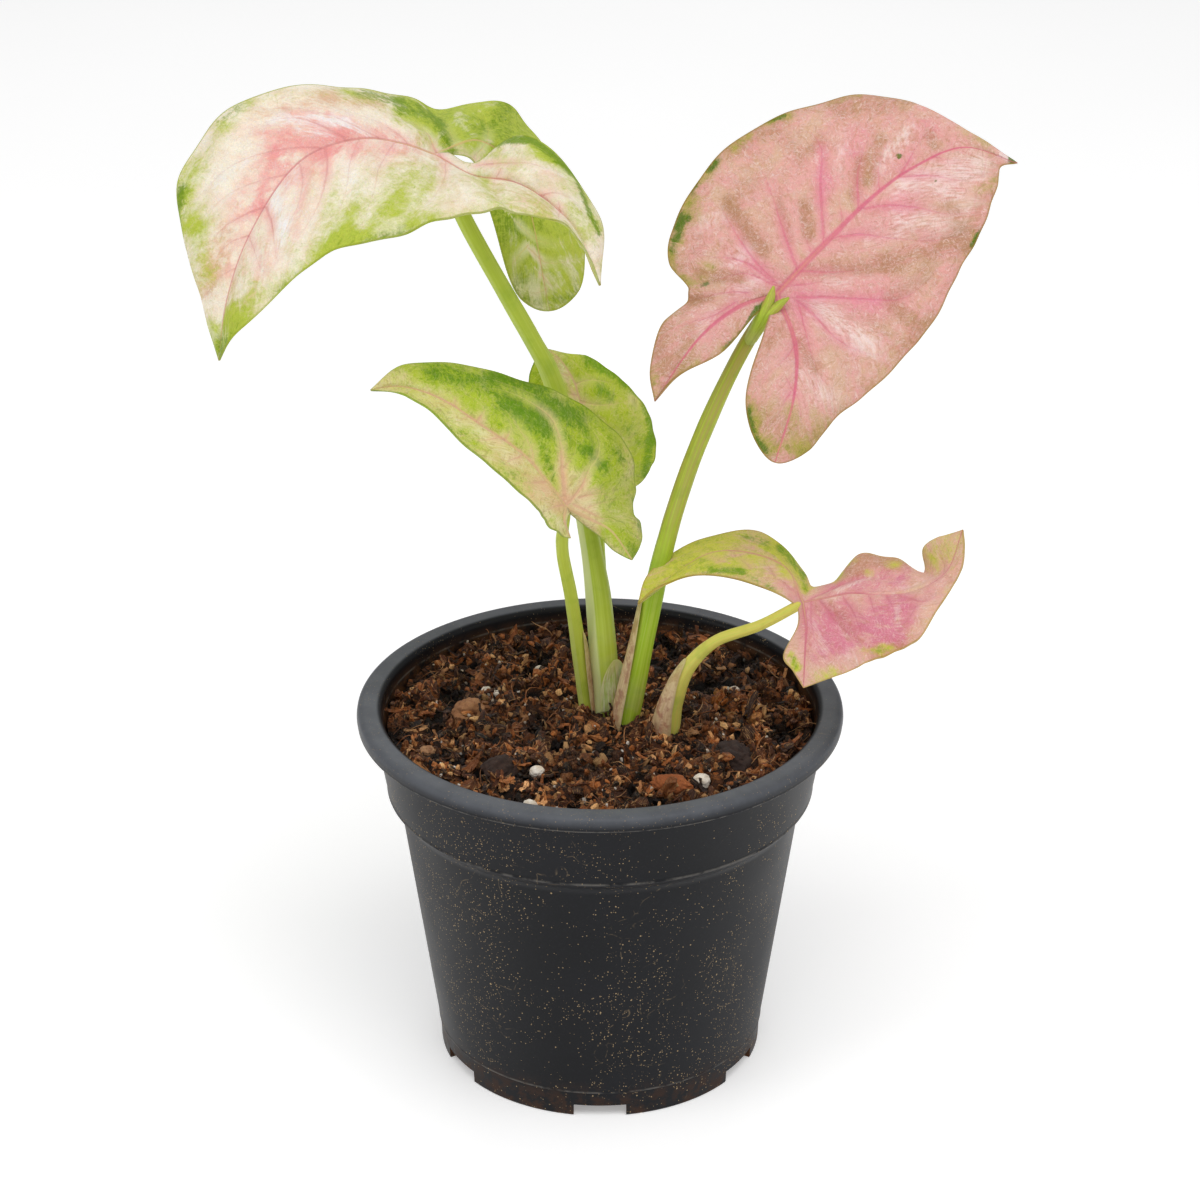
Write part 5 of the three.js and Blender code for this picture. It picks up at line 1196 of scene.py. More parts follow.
stalkGreen = stalkMaterial()
parts = []
for stalk in stalks.values():
    length = sum(math.dist(a[:3], b[:3]) for a, b in zip(stalk["route"], stalk["route"][1:]))
    parts.append(tube(stalk["route"], stalkLook["sides"], int(length / stalkLook["stepLength"]),
                      stalk["lines"], stalkLook["ridge"], stalk["look"]))
for ear in stalkEars["routes"]:
    parts.append(plainTube(ear, stalkEars))
parts.append(plainTube(crown["route"], crown))
for route in rootRoutes():
    parts.append(plainTube(route, rootsRule, inMm=True))
stems = gathered("stems_and_roots_fine", parts, stalkGreen)
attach(stems, "root")
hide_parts("stems_and_roots")

# stalk, low and high share of it, lift and thickness in mm, two edges in degrees,
# and look: dry, pink, fresh
sheaths = {
    "sheath_curled": ("curled", 0.08, 0.54, 0.35, 0.3, (95, 285), (0.35, 1.0, 0.0)),
    "sheath_large_right": ("largeRight", 0.08, 0.37, 0.9, 0.35, (130, 252), (0.45, 0.9, 0.1)),
    "sheath_large_left": ("largeLeft", 0.08, 0.17, 1.1, 0.4, (250, 380), (0.25, 0.1, 1.0)),
    "sheath_middle": ("middle", 0.1, 0.42, 0.8, 0.35, (-75, 30), (0.3, 0.7, 0)),
}
sheathPaint = sheathMaterial()
for name, (stalk, *shape) in sheaths.items():
    wing = gathered(name, [sheath(stalks[stalk]["route"], *shape)], sheathPaint)
    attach(wing, "root")
print("stalks done")


pot = {
    "height": 95.0, "rimRadius": 60.0, "rimBead": 6.2, "rimDepth": 4.0,
    "collarTop": 55.7, "collarFoot": 52.9, "collarFootHeight": 72.7,
    "bodyTop": 49.9, "bodyFoot": 41.3, "footRing": 7.3, "foot": 40.8,
    "wall": 1.5, "floor": 5.5, "sides": 256,
    "drains": 6, "drainWidth": 13.0, "drainHeight": 3.2, "drainDepth": 12.0,
    "flash": 0.16,
}


def roundedProfile(corners, cuts=4):
    # [radius, height, rounding] corners joined by straight lines, each corner softened by its rounding
    out = []
    count = len(corners)
    for i, (r, z, soft) in enumerate(corners):
        p = np.array([r, z])
        if i in (0, count - 1) or soft <= 0:
            out.append(p)
            continue
        a, b = np.array(corners[i - 1][:2]), np.array(corners[i + 1][:2])
        da, db = a - p, b - p
        la, lb = np.linalg.norm(da), np.linalg.norm(db)
        cut = min(soft, la * 0.48, lb * 0.48)
        start, end = p + da / la * cut, p + db / lb * cut
        for n in range(cuts + 1):
            t = n / cuts
            out.append((1 - t) ** 2 * start + 2 * t * (1 - t) * p + t * t * end)
    return out


def lathe(profile, sides):
    points, faces = [], []
    rings = []
    for r, z in profile:
        if r < 1e-6:
            rings.append([len(points)])
            points.append((0, 0, z))
            continue
        rings.append(list(range(len(points), len(points) + sides)))
        for j in range(sides):
            a = j / sides * 2 * math.pi
            points.append((r * math.cos(a), r * math.sin(a), z))
    for low, high in zip(rings, rings[1:]):
        for j in range(sides):
            nxt = (j + 1) % sides
            if len(low) == 1:
                faces.append([low[0], high[nxt], high[j]])
            elif len(high) == 1:
                faces.append([low[j], low[nxt], high[0]])
            else:
                faces.append([low[j], low[nxt], high[nxt], high[j]])
    return points, faces


def cutter(name, x, y, z, centre, turn):
    mesh = bpy.data.meshes.new(name)
    bm = bmesh.new()
    bmesh.ops.create_cube(bm, size=1.0)
    for v in bm.verts:
        p = Vector((v.co.x * x + centre[0], v.co.y * y + centre[1], v.co.z * z + centre[2]))
        v.co = Vector((p.x * math.cos(turn) - p.y * math.sin(turn),
                       p.x * math.sin(turn) + p.y * math.cos(turn), p.z)) * mm
    bm.to_mesh(mesh)
    bm.free()
    block = bpy.data.objects.new(name, mesh)
    scene.collection.objects.link(block)
    return block


def nurseryPot(material):
    p = pot
    inner = p["rimRadius"] - p["rimBead"]
    floorTop = p["floor"] + p["wall"]
    f = p["flash"]
    rimUnder = p["height"] - p["rimDepth"]
    corners = [
        (0, p["floor"], 0),
        (p["foot"] - p["wall"] - 1.2, p["floor"], 0.5),
        (p["foot"] - p["wall"] - 0.6, 0.0, 0.3),
        (p["foot"], 0.0, 0.4),
        (p["foot"] + 0.3, p["footRing"] - 0.5, 0.1),
        (p["bodyFoot"] + f, p["footRing"] - 0.15, 0.1),
        (p["bodyFoot"] + 0.08, p["footRing"] + 0.35, 0.2),
        (p["bodyTop"], p["collarFootHeight"] - 3.2, 1.0),
        (p["bodyTop"] + 1.1, p["collarFootHeight"] - 1.6, 0.8),
        (p["collarFoot"] - 0.35, p["collarFootHeight"] - 0.15, 0.5),
        (p["collarFoot"] + f, p["collarFootHeight"] + 0.45, 0.15),
        (p["collarFoot"] + 0.05, p["collarFootHeight"] + 1.1, 0.2),
        (p["collarTop"], rimUnder - 1.0, 0.6),
        (p["rimRadius"] - 0.9, rimUnder - 0.1, 0.5),
        (p["rimRadius"] - 0.35 + f, rimUnder + 0.3, 0.15),
        (p["rimRadius"] - 0.15, rimUnder + 0.9, 0.3),
        (p["rimRadius"], rimUnder + 1.7, 0.6),
        (p["rimRadius"] - 0.25, p["height"] - 0.7, 1.2),
        (p["rimRadius"] - 1.7, p["height"], 1.2),
        (inner + 1.0, p["height"] - 0.1, 0.9),
        (inner, p["height"] - 1.0, 0.7),
        (p["collarTop"] - p["wall"] - 1, rimUnder - 2, 0.6),
        (p["collarFoot"] - p["wall"], p["collarFootHeight"] + 0.4, 0.6),
        (p["bodyTop"] - p["wall"], p["collarFootHeight"] - 3.2, 0.6),
        (p["bodyFoot"] - p["wall"], floorTop + 1, 0.5),
        (p["bodyFoot"] - p["wall"] - 1, floorTop, 0.4),
        (0, floorTop, 0),
    ]
    points, faces = lathe(roundedProfile(corners), p["sides"])
    body = meshPiece("nursery_pot_fine", points, faces, material)
    for i in range(p["drains"]):
        turn = -math.pi / 2 + i * 2 * math.pi / p["drains"]
        notch = cutter("notch", 8, p["drainWidth"], 2 * p["drainHeight"], (p["foot"] - 1, 0, 0), turn)
        slot = cutter("slot", p["drainDepth"], p["drainWidth"] * 0.7, 6,
                      (p["foot"] - p["wall"] - 2.5 - p["drainDepth"] / 2, 0,
                       p["floor"] + p["wall"] / 2), turn)
        for block in (notch, slot):
            cut = body.modifiers.new("cut", "BOOLEAN")
            cut.operation, cut.solver, cut.object = "DIFFERENCE", "EXACT", block
            made = bpy.data.meshes.new_from_object(
                body.evaluated_get(bpy.context.evaluated_depsgraph_get()))
            body.modifiers.clear()
            body.data = made
            bpy.data.objects.remove(block)
    body.data.name = "nursery_pot_fine"
    # smooth turned walls, sharp edges at the drains
    body.data.polygons.foreach_set("use_smooth", [True] * len(body.data.polygons))
    bm = bmesh.new()
    bm.from_mesh(body.data)
    for edge in bm.edges:
        if len(edge.link_faces) == 2 and edge.calc_face_angle(0) > math.radians(38):
            edge.smooth = False
    bm.to_mesh(body.data)
    bm.free()
    return body


potLook = {
    "plain": "0B0C10", "cloudy": "14151A", "worn": "22242A", "rimTopHighlight": "62656B",
    "dirt": "5C3A20", "line": "7A7670", "dust": "BCA27A",
    "partingLines": ((0.0733, 0.00055), (0.0913, 0.00045), (0.0072, 0.0005)),  # height, width
    "dustSpecks": ((1900.0, 0.24, 0.85), (1100.0, 0.17, 0.5), (520.0, 0.11, 0.14)),  # scale, size, share
}


def potMaterial():
    s = Shade("potPlastic")
    spot = s.spot()
    x, y, z = s.split(spot)
    cloud = s.noise(spot, 22, 3, 0.6)
    fine = s.noise(spot, 1400, 3, 0.6)
    colour = s.mix(s.ramp(cloud, 0.35, 0.7), potLook["plain"], potLook["cloudy"])
    colour = s.mix(s.ramp(fine, 0.5, 0.8, 0.0, 0.3), colour, potLook["worn"])
    # dust gathers in patches and along wandering lines
    wander = s.put("ShaderNodeVectorMath", {"operation": "ADD"}, i0=spot,
                   i1=s.put("ShaderNodeVectorMath", {"operation": "SCALE"},
                            i0=s.put("ShaderNodeTexNoise", Vector=spot, Scale=60).outputs["Color"],
                            Scale=0.02).outputs[0]).outputs[0]
    gather = s.ramp(s.noise(spot, 42, 4, 0.65, 0.8), 0.36, 0.62, 0.06, 1.0)
    trail = s.ramp(s.cells(wander, 60, feature="DISTANCE_TO_EDGE"), 0.0, 0.07, 1.0, 0.0)
    trail = s.times(trail, s.ramp(s.noise(spot, 34, 3), 0.5, 0.62))
    gather = s.most(s.times(gather, 0.8), trail)

    def specks(scale, size, share):
        # round specks of many sizes; share is how many cells hold one
        node = s.put("ShaderNodeTexVoronoi", Vector=spot, Scale=scale)
        red, green, _ = s.split(node.outputs["Color"])
        shown = s.maths("LESS_THAN", red, s.times(gather, share))
        within = s.less(node.outputs["Distance"], s.times(green, size))
        return s.times(s.ramp(within, 0.0, 0.07, 1.0, 0.0), shown)

    dust = 0.0
    for scale, size, share in potLook["dustSpecks"]:
        dust = s.most(dust, specks(scale, size, share))
    dust = s.times(dust, s.ramp(z, 0.078, 0.090, 1.0, 0.4))
    # hair-thin scratches
    hair = s.ramp(s.cells(wander, 75, feature="DISTANCE_TO_EDGE"), 0.0, 0.014, 1.0, 0.0)
    hair = s.times(hair, s.ramp(s.noise(spot, 55, 2), 0.55, 0.66))
    hair = s.times(hair, s.ramp(s.noise(spot, 500, 2), 0.45, 0.6))
    # scuffed parting lines
    lines = 0.0
    for height, width in potLook["partingLines"]:
        lines = s.most(lines, s.ramp(s.apart(z, height), 0.0, width, 1.0, 0.0))
    lines = s.times(lines, s.ramp(s.noise(spot, 180, 3, 0.7), 0.38, 0.62))
    # dirt at the foot and inside, below the rim
    foot = s.times(s.ramp(z, 0.001, 0.012, 1.0, 0.0), s.ramp(s.noise(spot, 260, 4, 0.7), 0.40, 0.62))
    facing = s.put("ShaderNodeVectorMath", {"operation": "DOT_PRODUCT"},
                   i0=s.put("ShaderNodeNewGeometry").outputs["Normal"], i1=s.join(x, y, 0.0)).outputs["Value"]
    inside = s.times(s.ramp(z, 0.0885, 0.0940, 1.0, 0.0), s.maths("LESS_THAN", facing, 0.0))
    inside = s.times(inside, s.ramp(s.noise(spot, 240, 4, 0.7), 0.34, 0.56))
    dirt = s.most(s.times(foot, 0.35), s.times(inside, 0.95))
    # painted highlight: the top of the rim is paler grey
    top = s.times(s.ramp(z, 0.0915, 0.0948), s.ramp(facing, -0.036, -0.006))
    top = s.times(top, s.ramp(s.noise(spot, 150, 3, 0.65), 0.3, 0.65, 0.8, 1.0))
    colour = s.mix(s.times(top, 0.85), colour, potLook["rimTopHighlight"])
    colour = s.mix(dirt, colour, potLook["dirt"])
    colour = s.mix(s.times(lines, 0.5), colour, potLook["line"])
    colour = s.mix(s.times(hair, 0.25), colour, potLook["dust"])
    colour = s.mix(s.times(dust, 0.85), colour, potLook["dust"])
    rough = s.add(s.ramp(cloud, 0.3, 0.7, 0.38, 0.5), s.times(s.most(dust, dirt), 0.4))
    height = s.add(s.times(fine, 0.4), s.times(dust, 1.2))
    height = s.add(height, s.times(s.noise(spot, 120, 2), 1.0))
    normal = s.bump(height, 0.25, 0.00015)
    return s.finish(Base_Color=colour, Roughness=rough, Normal=normal, Specular_IOR_Level=0.19)


potBody = nurseryPot(potMaterial())
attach(potBody, "root")
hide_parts("nursery_pot")
print("pot done")


mix = {
    "level": 89.5, "mound": 3.2, "lump": 1.5, "topRadius": 52.5,
    "rings": 130, "sectors": 300,
    "clump": 6.0, "crumb": 1.2, "dip": 3.2, "strewRadius": 51.2,
}


def smoothStep01(x, low, high):
    t = min(max((x - low) / (high - low), 0.0), 1.0)
    return t * t * (3 - 2 * t)


def mixHeight(x, y, edge):
    coarse = math.sin(x * 0.31 + 1.3 * math.sin(y * 0.23)) * math.cos(y * 0.29 + 0.7)
    fine = math.sin(x * 0.83 + y * 0.37 + 2 * math.sin(y * 0.41)) * math.sin(y * 0.71 - x * 0.29)
    mound = mix["mound"] * math.exp(-((x - 4) ** 2 + (y + 8) ** 2) / 800)
    calm = smoothStep01(edge - math.hypot(x, y), 0, 6)
    return mix["level"] + mound + mix["lump"] * (0.55 * coarse + 0.45 * fine) * (0.35 + 0.65 * calm)


def roughHeight(x, y):
    # The plain surface with clumps, crumbs and dips between them, which the materials paint dark as shade
    edge = mix["topRadius"]
    v = Vector((x, y, 0))
    warped = v + 2.0 * Vector((noise.noise(v * 0.2), noise.noise(v * 0.2 + Vector((9, 4, 2))), 0))
    clumps = noise.voronoi(warped * 0.18)[0]
    crumbs = noise.voronoi(warped * 0.62 + Vector((7, 3, 0)))[0]
    height = mix["clump"] * (0.55 - clumps[0]) + mix["crumb"] * (0.5 - crumbs[0])
    height += 0.45 * noise.fractal(v * 1.3, 1.0, 2.1, 3)
    height -= mix["dip"] * smoothStep01(noise.noise(v * 0.35 + Vector((31, 5, 0))), 0.1, 0.45)
    return mixHeight(x, y, edge) + height * (0.6 + 0.4 * smoothStep01(edge - math.hypot(x, y), 0, 3))


def pottingMix(material):
    sectors, rings = mix["sectors"], mix["rings"]
    top = mix["topRadius"]
    points = [(0, 0, roughHeight(0, 0))]
    faces = []
    for i in range(1, rings + 1):
        r = top * i / rings
        for j in range(sectors):
            a = j / sectors * 2 * math.pi
            x, y = r * math.cos(a), r * math.sin(a)
            points.append((x, y, roughHeight(x, y)))
    wall = pot["wall"] + 0.3

    def inner(height):
        share = (height - pot["footRing"]) / (pot["collarFootHeight"] - 3.2 - pot["footRing"])
        return pot["bodyFoot"] + (pot["bodyTop"] - pot["bodyFoot"]) * share - wall

    down = [
        (pot["collarFoot"] - wall - 0.2, pot["collarFootHeight"] + 1.4),
        (inner(pot["collarFootHeight"] - 3.2), pot["collarFootHeight"] - 3.2),
        (inner(40), 40),
        (inner(pot["floor"] + pot["wall"] + 2), pot["floor"] + pot["wall"] + 2),
        (pot["bodyFoot"] - pot["wall"] - 1.3, pot["floor"] + pot["wall"] + 0.3),
    ]
    for r, z in down:
        for j in range(sectors):
            a = j / sectors * 2 * math.pi
            points.append((r * math.cos(a), r * math.sin(a), z))
    for j in range(sectors):
        faces.append([0, 1 + j, 1 + (j + 1) % sectors])
    for i in range(rings + len(down) - 1):
        for j in range(sectors):
            nxt = (j + 1) % sectors
            a, b = 1 + i * sectors + j, 1 + i * sectors + nxt
            faces.append([a, a + sectors, b + sectors, b])
    last = len(points)
    points.append((0, 0, down[-1][1]))
    for j in range(sectors):
        base = 1 + (rings + len(down) - 1) * sectors
        faces.append([last, base + (j + 1) % sectors, base + j])
    # how far each point stands above or below the plain surface, for the painted shade in the dips
    stands = [p[2] - mixHeight(p[0], p[1], top) if p[2] > mix["level"] - 12 else 0.0 for p in points]
    return meshPiece("potting_mix_fine", points, faces, material,
                     corners={"stand": [(stands[n], 0.0, 0.0) for face in faces for n in face]})


def mixMaterial():
    s = Shade("darkMix")
    spot = s.spot()
    stand, _, _ = s.read("stand")
    tone = s.noise(spot, 120, 4, 0.7, 0.5)
    grain = s.noise(spot, 900, 4, 0.7)
    drawn = s.put("ShaderNodeVectorMath", {"operation": "MULTIPLY"}, i0=spot, i1=(1.0, 3.2, 1.0))
    fibres = s.noise(drawn.outputs[0], 420, 4, 0.7, 1.6)
    crumb = s.put("ShaderNodeTexVoronoi", Vector=spot, Scale=600.0)
    red, green, _ = s.split(crumb.outputs["Color"])
    colour = s.mix(s.ramp(tone, 0.35, 0.68), "1A0E09", "4C2A16")
    colour = s.mix(s.ramp(s.add(grain, s.times(red, 0.35)), 0.62, 0.95), colour, "8E5429")
    colour = s.mix(s.ramp(fibres, 0.56, 0.72, 0.0, 0.6), colour, "A86A36")
    colour = s.mix(s.times(s.maths("GREATER_THAN", green, 0.95), 0.6), colour, "C08B57")
    # painted shade: dips are nearly black
    colour = s.mix(s.ramp(stand, -1.0, 0.8, 0.97, 0.0), colour, "060302")
    height = s.add(s.times(grain, 1.0), s.times(crumb.outputs["Distance"], -0.6))
    normal = s.bump(s.add(height, fibres), 0.8, 0.0008)
    return s.finish(Base_Color=colour, Roughness=0.8, Normal=normal, Specular_IOR_Level=0.3)


def chipMaterial(name, tones, speckle, rough, scale=700.0, places=None):
    # tones go from dark to light by each bit's own number, at the given places;
    # fibres run along each bit
    s = Shade(name)
    spot = s.spot()
    tone = s.put("ShaderNodeAttribute", {"attribute_name": "tone"}).outputs["Fac"]
    x, y, z = s.read("grain")
    fibres = s.noise(s.join(s.times(x, 0.35), s.times(y, 3.2), s.add(s.times(z, 1.5), s.times(tone, 60.0))),
                     1.0, 4, 0.65, 0.4)
    grain = s.noise(spot, scale, 4, 0.7, 0.3)
    places = places or [i / (len(tones) - 1) for i in range(len(tones))]
    colour = tones[0]
    for low, high, shade in zip(places, places[1:], tones[1:]):
        colour = s.mix(s.ramp(tone, low, high), colour, shade)
    colour = s.mix(s.ramp(fibres, 0.52, 0.68, 0.0, 0.55), colour, tones[-1])
    colour = s.mix(s.ramp(fibres, 0.32, 0.46, 0.75, 0.0), colour, speckle)
    colour = s.mix(s.ramp(grain, 0.5, 0.72, 0.0, 0.6), colour, speckle)
    # painted shade: bits that lie in a dip are nearly black
    stand, _, _ = s.read("stand")
    colour = s.mix(s.ramp(s.noise(spot, 65, 2), 0.46, 0.6, 0.0, 0.55), colour, speckle)
    colour = s.mix(s.ramp(stand, -1.6, 0.2, 0.93, 0.0), colour, "070302")
    normal = s.bump(s.add(grain, s.times(fibres, 1.5)), 0.8, 0.0006)
    return s.finish(Base_Color=colour, Roughness=rough, Normal=normal, Specular_IOR_Level=0.4)


mixPiece = pottingMix(mixMaterial())
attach(mixPiece, "root")
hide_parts("potting_mix")
print("mix done")


def bitObject(name, points, faces):
    # points in mm; each point also keeps its own place, for fibres that run along the bit
    mesh = bpy.data.meshes.new(name)
    mesh.from_pydata([(x * mm, y * mm, z * mm) for x, y, z in points], [], faces)
    layer = mesh.attributes.new("grain", "FLOAT_VECTOR", "POINT")
    layer.data.foreach_set("vector", np.asarray(points, dtype=np.float32).ravel())
    bm = bmesh.new()
    bm.from_mesh(mesh)
    bmesh.ops.recalc_face_normals(bm, faces=bm.faces)
    bm.to_mesh(mesh)
    bm.free()
    return bpy.data.objects.new(name, mesh)


def shred(name, length, width, thick, curl, seed):
    # A torn strip of bark: ragged ends, curled along its length
    draw = random.Random(seed)
    cols, rows = 5, 2
    top, low = [], []
    for i in range(cols + 1):
        along = i / cols * 2 - 1
        taper = 1 - 0.5 * abs(along) ** 2.5
        for j in range(rows + 1):
            across = j / rows * 2 - 1
            x = length / 2 * along + (0.16 * length * draw.uniform(-1, 1) if i in (0, cols) else 0.0)
            y = width / 2 * across * taper * draw.uniform(0.75, 1.2) + 0.06 * width * draw.uniform(-1, 1)
            z = curl * along * along + thick * draw.uniform(-0.5, 0.5) - 0.25 * width * across * across
            top.append((x, y, z + thick * (0.5 - 0.3 * abs(across))))
            low.append((x, y * 0.92, z - thick * (0.5 - 0.3 * abs(across))))
    row = rows + 1
    count = len(top)
    faces = []
    for i in range(cols):
        for j in range(rows):
            a, b = i * row + j, (i + 1) * row + j
            faces.append([a, b, b + 1, a + 1])
            faces.append([a + count, a + 1 + count, b + 1 + count, b + count])
        for j in (0, rows):
            a, b = i * row + j, (i + 1) * row + j
            faces.append([a, a + count, b + count, b] if j == 0 else [a, b, b + count, a + count])
    for i in (0, cols):
        for j in range(rows):
            a, b = i * row + j, i * row + j + 1
            faces.append([a, b, b + count, a + count] if i == 0 else [a, a + count, b + count, b])
    return bitObject(name, top + low, faces)


def flake(name, size, seed, cuts=1, rough=0.35):
    # A small irregular lump, size in mm, with few faces
    draw = random.Random(seed)
    bm = bmesh.new()
    bmesh.ops.create_icosphere(bm, subdivisions=cuts, radius=0.5)
    bm.verts.ensure_lookup_table()
    points = []
    for v in bm.verts:
        k = 1 - rough + 2 * rough * draw.random()
        points.append((v.co.x * size[0] * k, v.co.y * size[1] * k, v.co.z * size[2] * k))
    faces = [[v.index for v in f.verts] for f in bm.faces]
    bm.free()
    return bitObject(name, points, faces)


def strand(name, length, thick, seed):
    # A bent fibre, pointed at both ends
    draw = random.Random(seed)
    steps, sides = 7, 5
    points, faces = [], []
    bend, curl = draw.uniform(0.5, 1.8), draw.uniform(-1, 1)
    for i in range(steps + 1):
        t = i / steps
        a = bend * (t - 0.5)
        rise = 0.18 * curl * math.sin(5 * t)
        centre = Vector((math.sin(a) / bend, (1 - math.cos(a)) / bend, rise)) * length
        r = thick * (0.25 + 0.75 * math.sin(math.pi * min(max(t, 0.04), 0.96)))
        for j in range(sides):
            b = j / sides * 2 * math.pi
            points.append(tuple(centre + Vector((0, math.cos(b), math.sin(b))) * r))
    for i in range(steps):
        for j in range(sides):
            nxt = (j + 1) % sides
            a, b = i * sides + j, i * sides + nxt
            faces.append([a, a + sides, b + sides, b])
    faces.append(list(range(sides)))
    faces.append(list(range(steps * sides, (steps + 1) * sides))[::-1])
    return bitObject(name, points, faces)


def scatterTree(name):
    # Strews a collection's bits over the faces of a surface
    tree = bpy.data.node_groups.new(name, "GeometryNodeTree")
    face = tree.interface
    for label, kind in (("Surface", "Geometry"), ("Bits", "Collection"), ("Amount", "Float"),
                        ("Least Size", "Float"), ("Most Size", "Float"), ("Tilt", "Float"),
                        ("Sink", "Float"), ("Seed", "Int"), ("Material", "Material")):
        face.new_socket(label, in_out="INPUT", socket_type="NodeSocket" + kind)
    face.new_socket("Geometry", in_out="OUTPUT", socket_type="NodeSocketGeometry")
    add, link = tree.nodes.new, tree.links.new
    given, result = add("NodeGroupInput"), add("NodeGroupOutput")
    strew = add("GeometryNodeDistributePointsOnFaces")
    link(given.outputs["Surface"], strew.inputs["Mesh"])
    link(given.outputs["Amount"], strew.inputs["Density"])
    link(given.outputs["Seed"], strew.inputs["Seed"])
    sink = add("GeometryNodeSetPosition")
    lower = add("ShaderNodeCombineXYZ")
    link(given.outputs["Sink"], lower.inputs["Z"])
    link(strew.outputs["Points"], sink.inputs["Geometry"])
    link(lower.outputs[0], sink.inputs["Offset"])
    bits = add("GeometryNodeCollectionInfo")
    bits.inputs["Separate Children"].default_value = True
    bits.inputs["Reset Children"].default_value = True
    link(given.outputs["Bits"], bits.inputs["Collection"])
    tiltDown = add("ShaderNodeMath")
    tiltDown.operation = "MULTIPLY"
    tiltDown.inputs[1].default_value = -1.0
    link(given.outputs["Tilt"], tiltDown.inputs[0])
    least, most = add("ShaderNodeCombineXYZ"), add("ShaderNodeCombineXYZ")
    for n in ("X", "Y"):
        link(tiltDown.outputs[0], least.inputs[n])
        link(given.outputs["Tilt"], most.inputs[n])
    most.inputs["Z"].default_value = 2 * math.pi
    turn = add("FunctionNodeRandomValue")
    turn.data_type = "FLOAT_VECTOR"
    link(least.outputs[0], turn.inputs["Min"])
    link(most.outputs[0], turn.inputs["Max"])
    link(given.outputs["Seed"], turn.inputs["Seed"])
    size = add("FunctionNodeRandomValue")
    link(given.outputs["Least Size"], size.inputs[2])
    link(given.outputs["Most Size"], size.inputs[3])
    link(given.outputs["Seed"], size.inputs["Seed"])
    put = add("GeometryNodeInstanceOnPoints")
    put.inputs["Pick Instance"].default_value = True
    link(sink.outputs["Geometry"], put.inputs["Points"])
    link(bits.outputs[0], put.inputs["Instance"])
    link(turn.outputs[0], put.inputs["Rotation"])
    link(size.outputs[1], put.inputs["Scale"])
    tone = add("FunctionNodeRandomValue")
    tone.inputs["Seed"].default_value = 77
    keep = add("GeometryNodeStoreNamedAttribute")
    keep.data_type = "FLOAT"
    keep.domain = "INSTANCE"
    keep.inputs["Name"].default_value = "tone"
    link(put.outputs[0], keep.inputs["Geometry"])
    link(tone.outputs[1], keep.inputs["Value"])
    real = add("GeometryNodeRealizeInstances")
    paint = add("GeometryNodeSetMaterial")
    link(keep.outputs[0], real.inputs[0])
    link(real.outputs[0], paint.inputs["Geometry"])
    link(given.outputs["Material"], paint.inputs["Material"])
    link(paint.outputs[0], result.inputs["Geometry"])
    return tree


def openTop(radius):
    # A copy of the mix's upper surface, only to strew on
    kept = bpy.data.meshes.new("strewOn")
    bm = bmesh.new()
    bm.from_mesh(mixPiece.data)
    gone = [f for f in bm.faces if f.normal.z < 0.15 or f.calc_center_median().z < 0.08
            or f.calc_center_median().xy.length > radius * mm]
    bmesh.ops.delete(bm, geom=gone, context="FACES")
    bm.to_mesh(kept)
    bm.free()
    return kept


scatter = scatterTree("strewOverMix")
topMesh = openTop(mix["strewRadius"])


def strew(name, bits, settings):
    holder = bpy.data.collections.new(name + "Bits")
    for bit in bits:
        holder.objects.link(bit)
    base = bpy.data.objects.new(name, topMesh)
    scene.collection.objects.link(base)
    layer = base.modifiers.new("strew", "NODES")
    layer.node_group = scatter
    sockets = {i.name: i.identifier for i in scatter.interface.items_tree if i.in_out == "INPUT"}
    for label, value in {"Bits": holder, **settings}.items():
        layer[sockets[label]] = value
    graph = bpy.context.evaluated_depsgraph_get()
    made = bpy.data.meshes.new_from_object(base.evaluated_get(graph), preserve_all_data_layers=True,
                                           depsgraph=graph)
    made.name = name
    bpy.data.objects.remove(base)
    for bit in bits:
        bpy.data.objects.remove(bit)
    bpy.data.collections.remove(holder)
    piece = bpy.data.objects.new(name, made)
    scene.collection.objects.link(piece)
    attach(piece, "root")
    print(name, len(made.polygons), "faces")
    return piece


barkPaint = chipMaterial("barkBits", ["1C0D07", "5A2C14", "B0642C", "FFBE80"], "180B06", 0.45,
                         700.0, [0, 0.4, 0.75, 1])
fibrePaint = chipMaterial("fibreBits", ["6B3A1C", "A8683A", "D6A674"], "7A4522", 0.7)
palePaint = chipMaterial("paleBits", ["C9B79F", "E6DDD0", "F3EEE6"], "B59C82", 0.8)
humusPaint = chipMaterial("darkBits", ["1E0F08", "5C2F14", "BC6C30", "FFC684"], "0A0504", 0.5,
                          900.0, [0, 0.5, 0.8, 1])

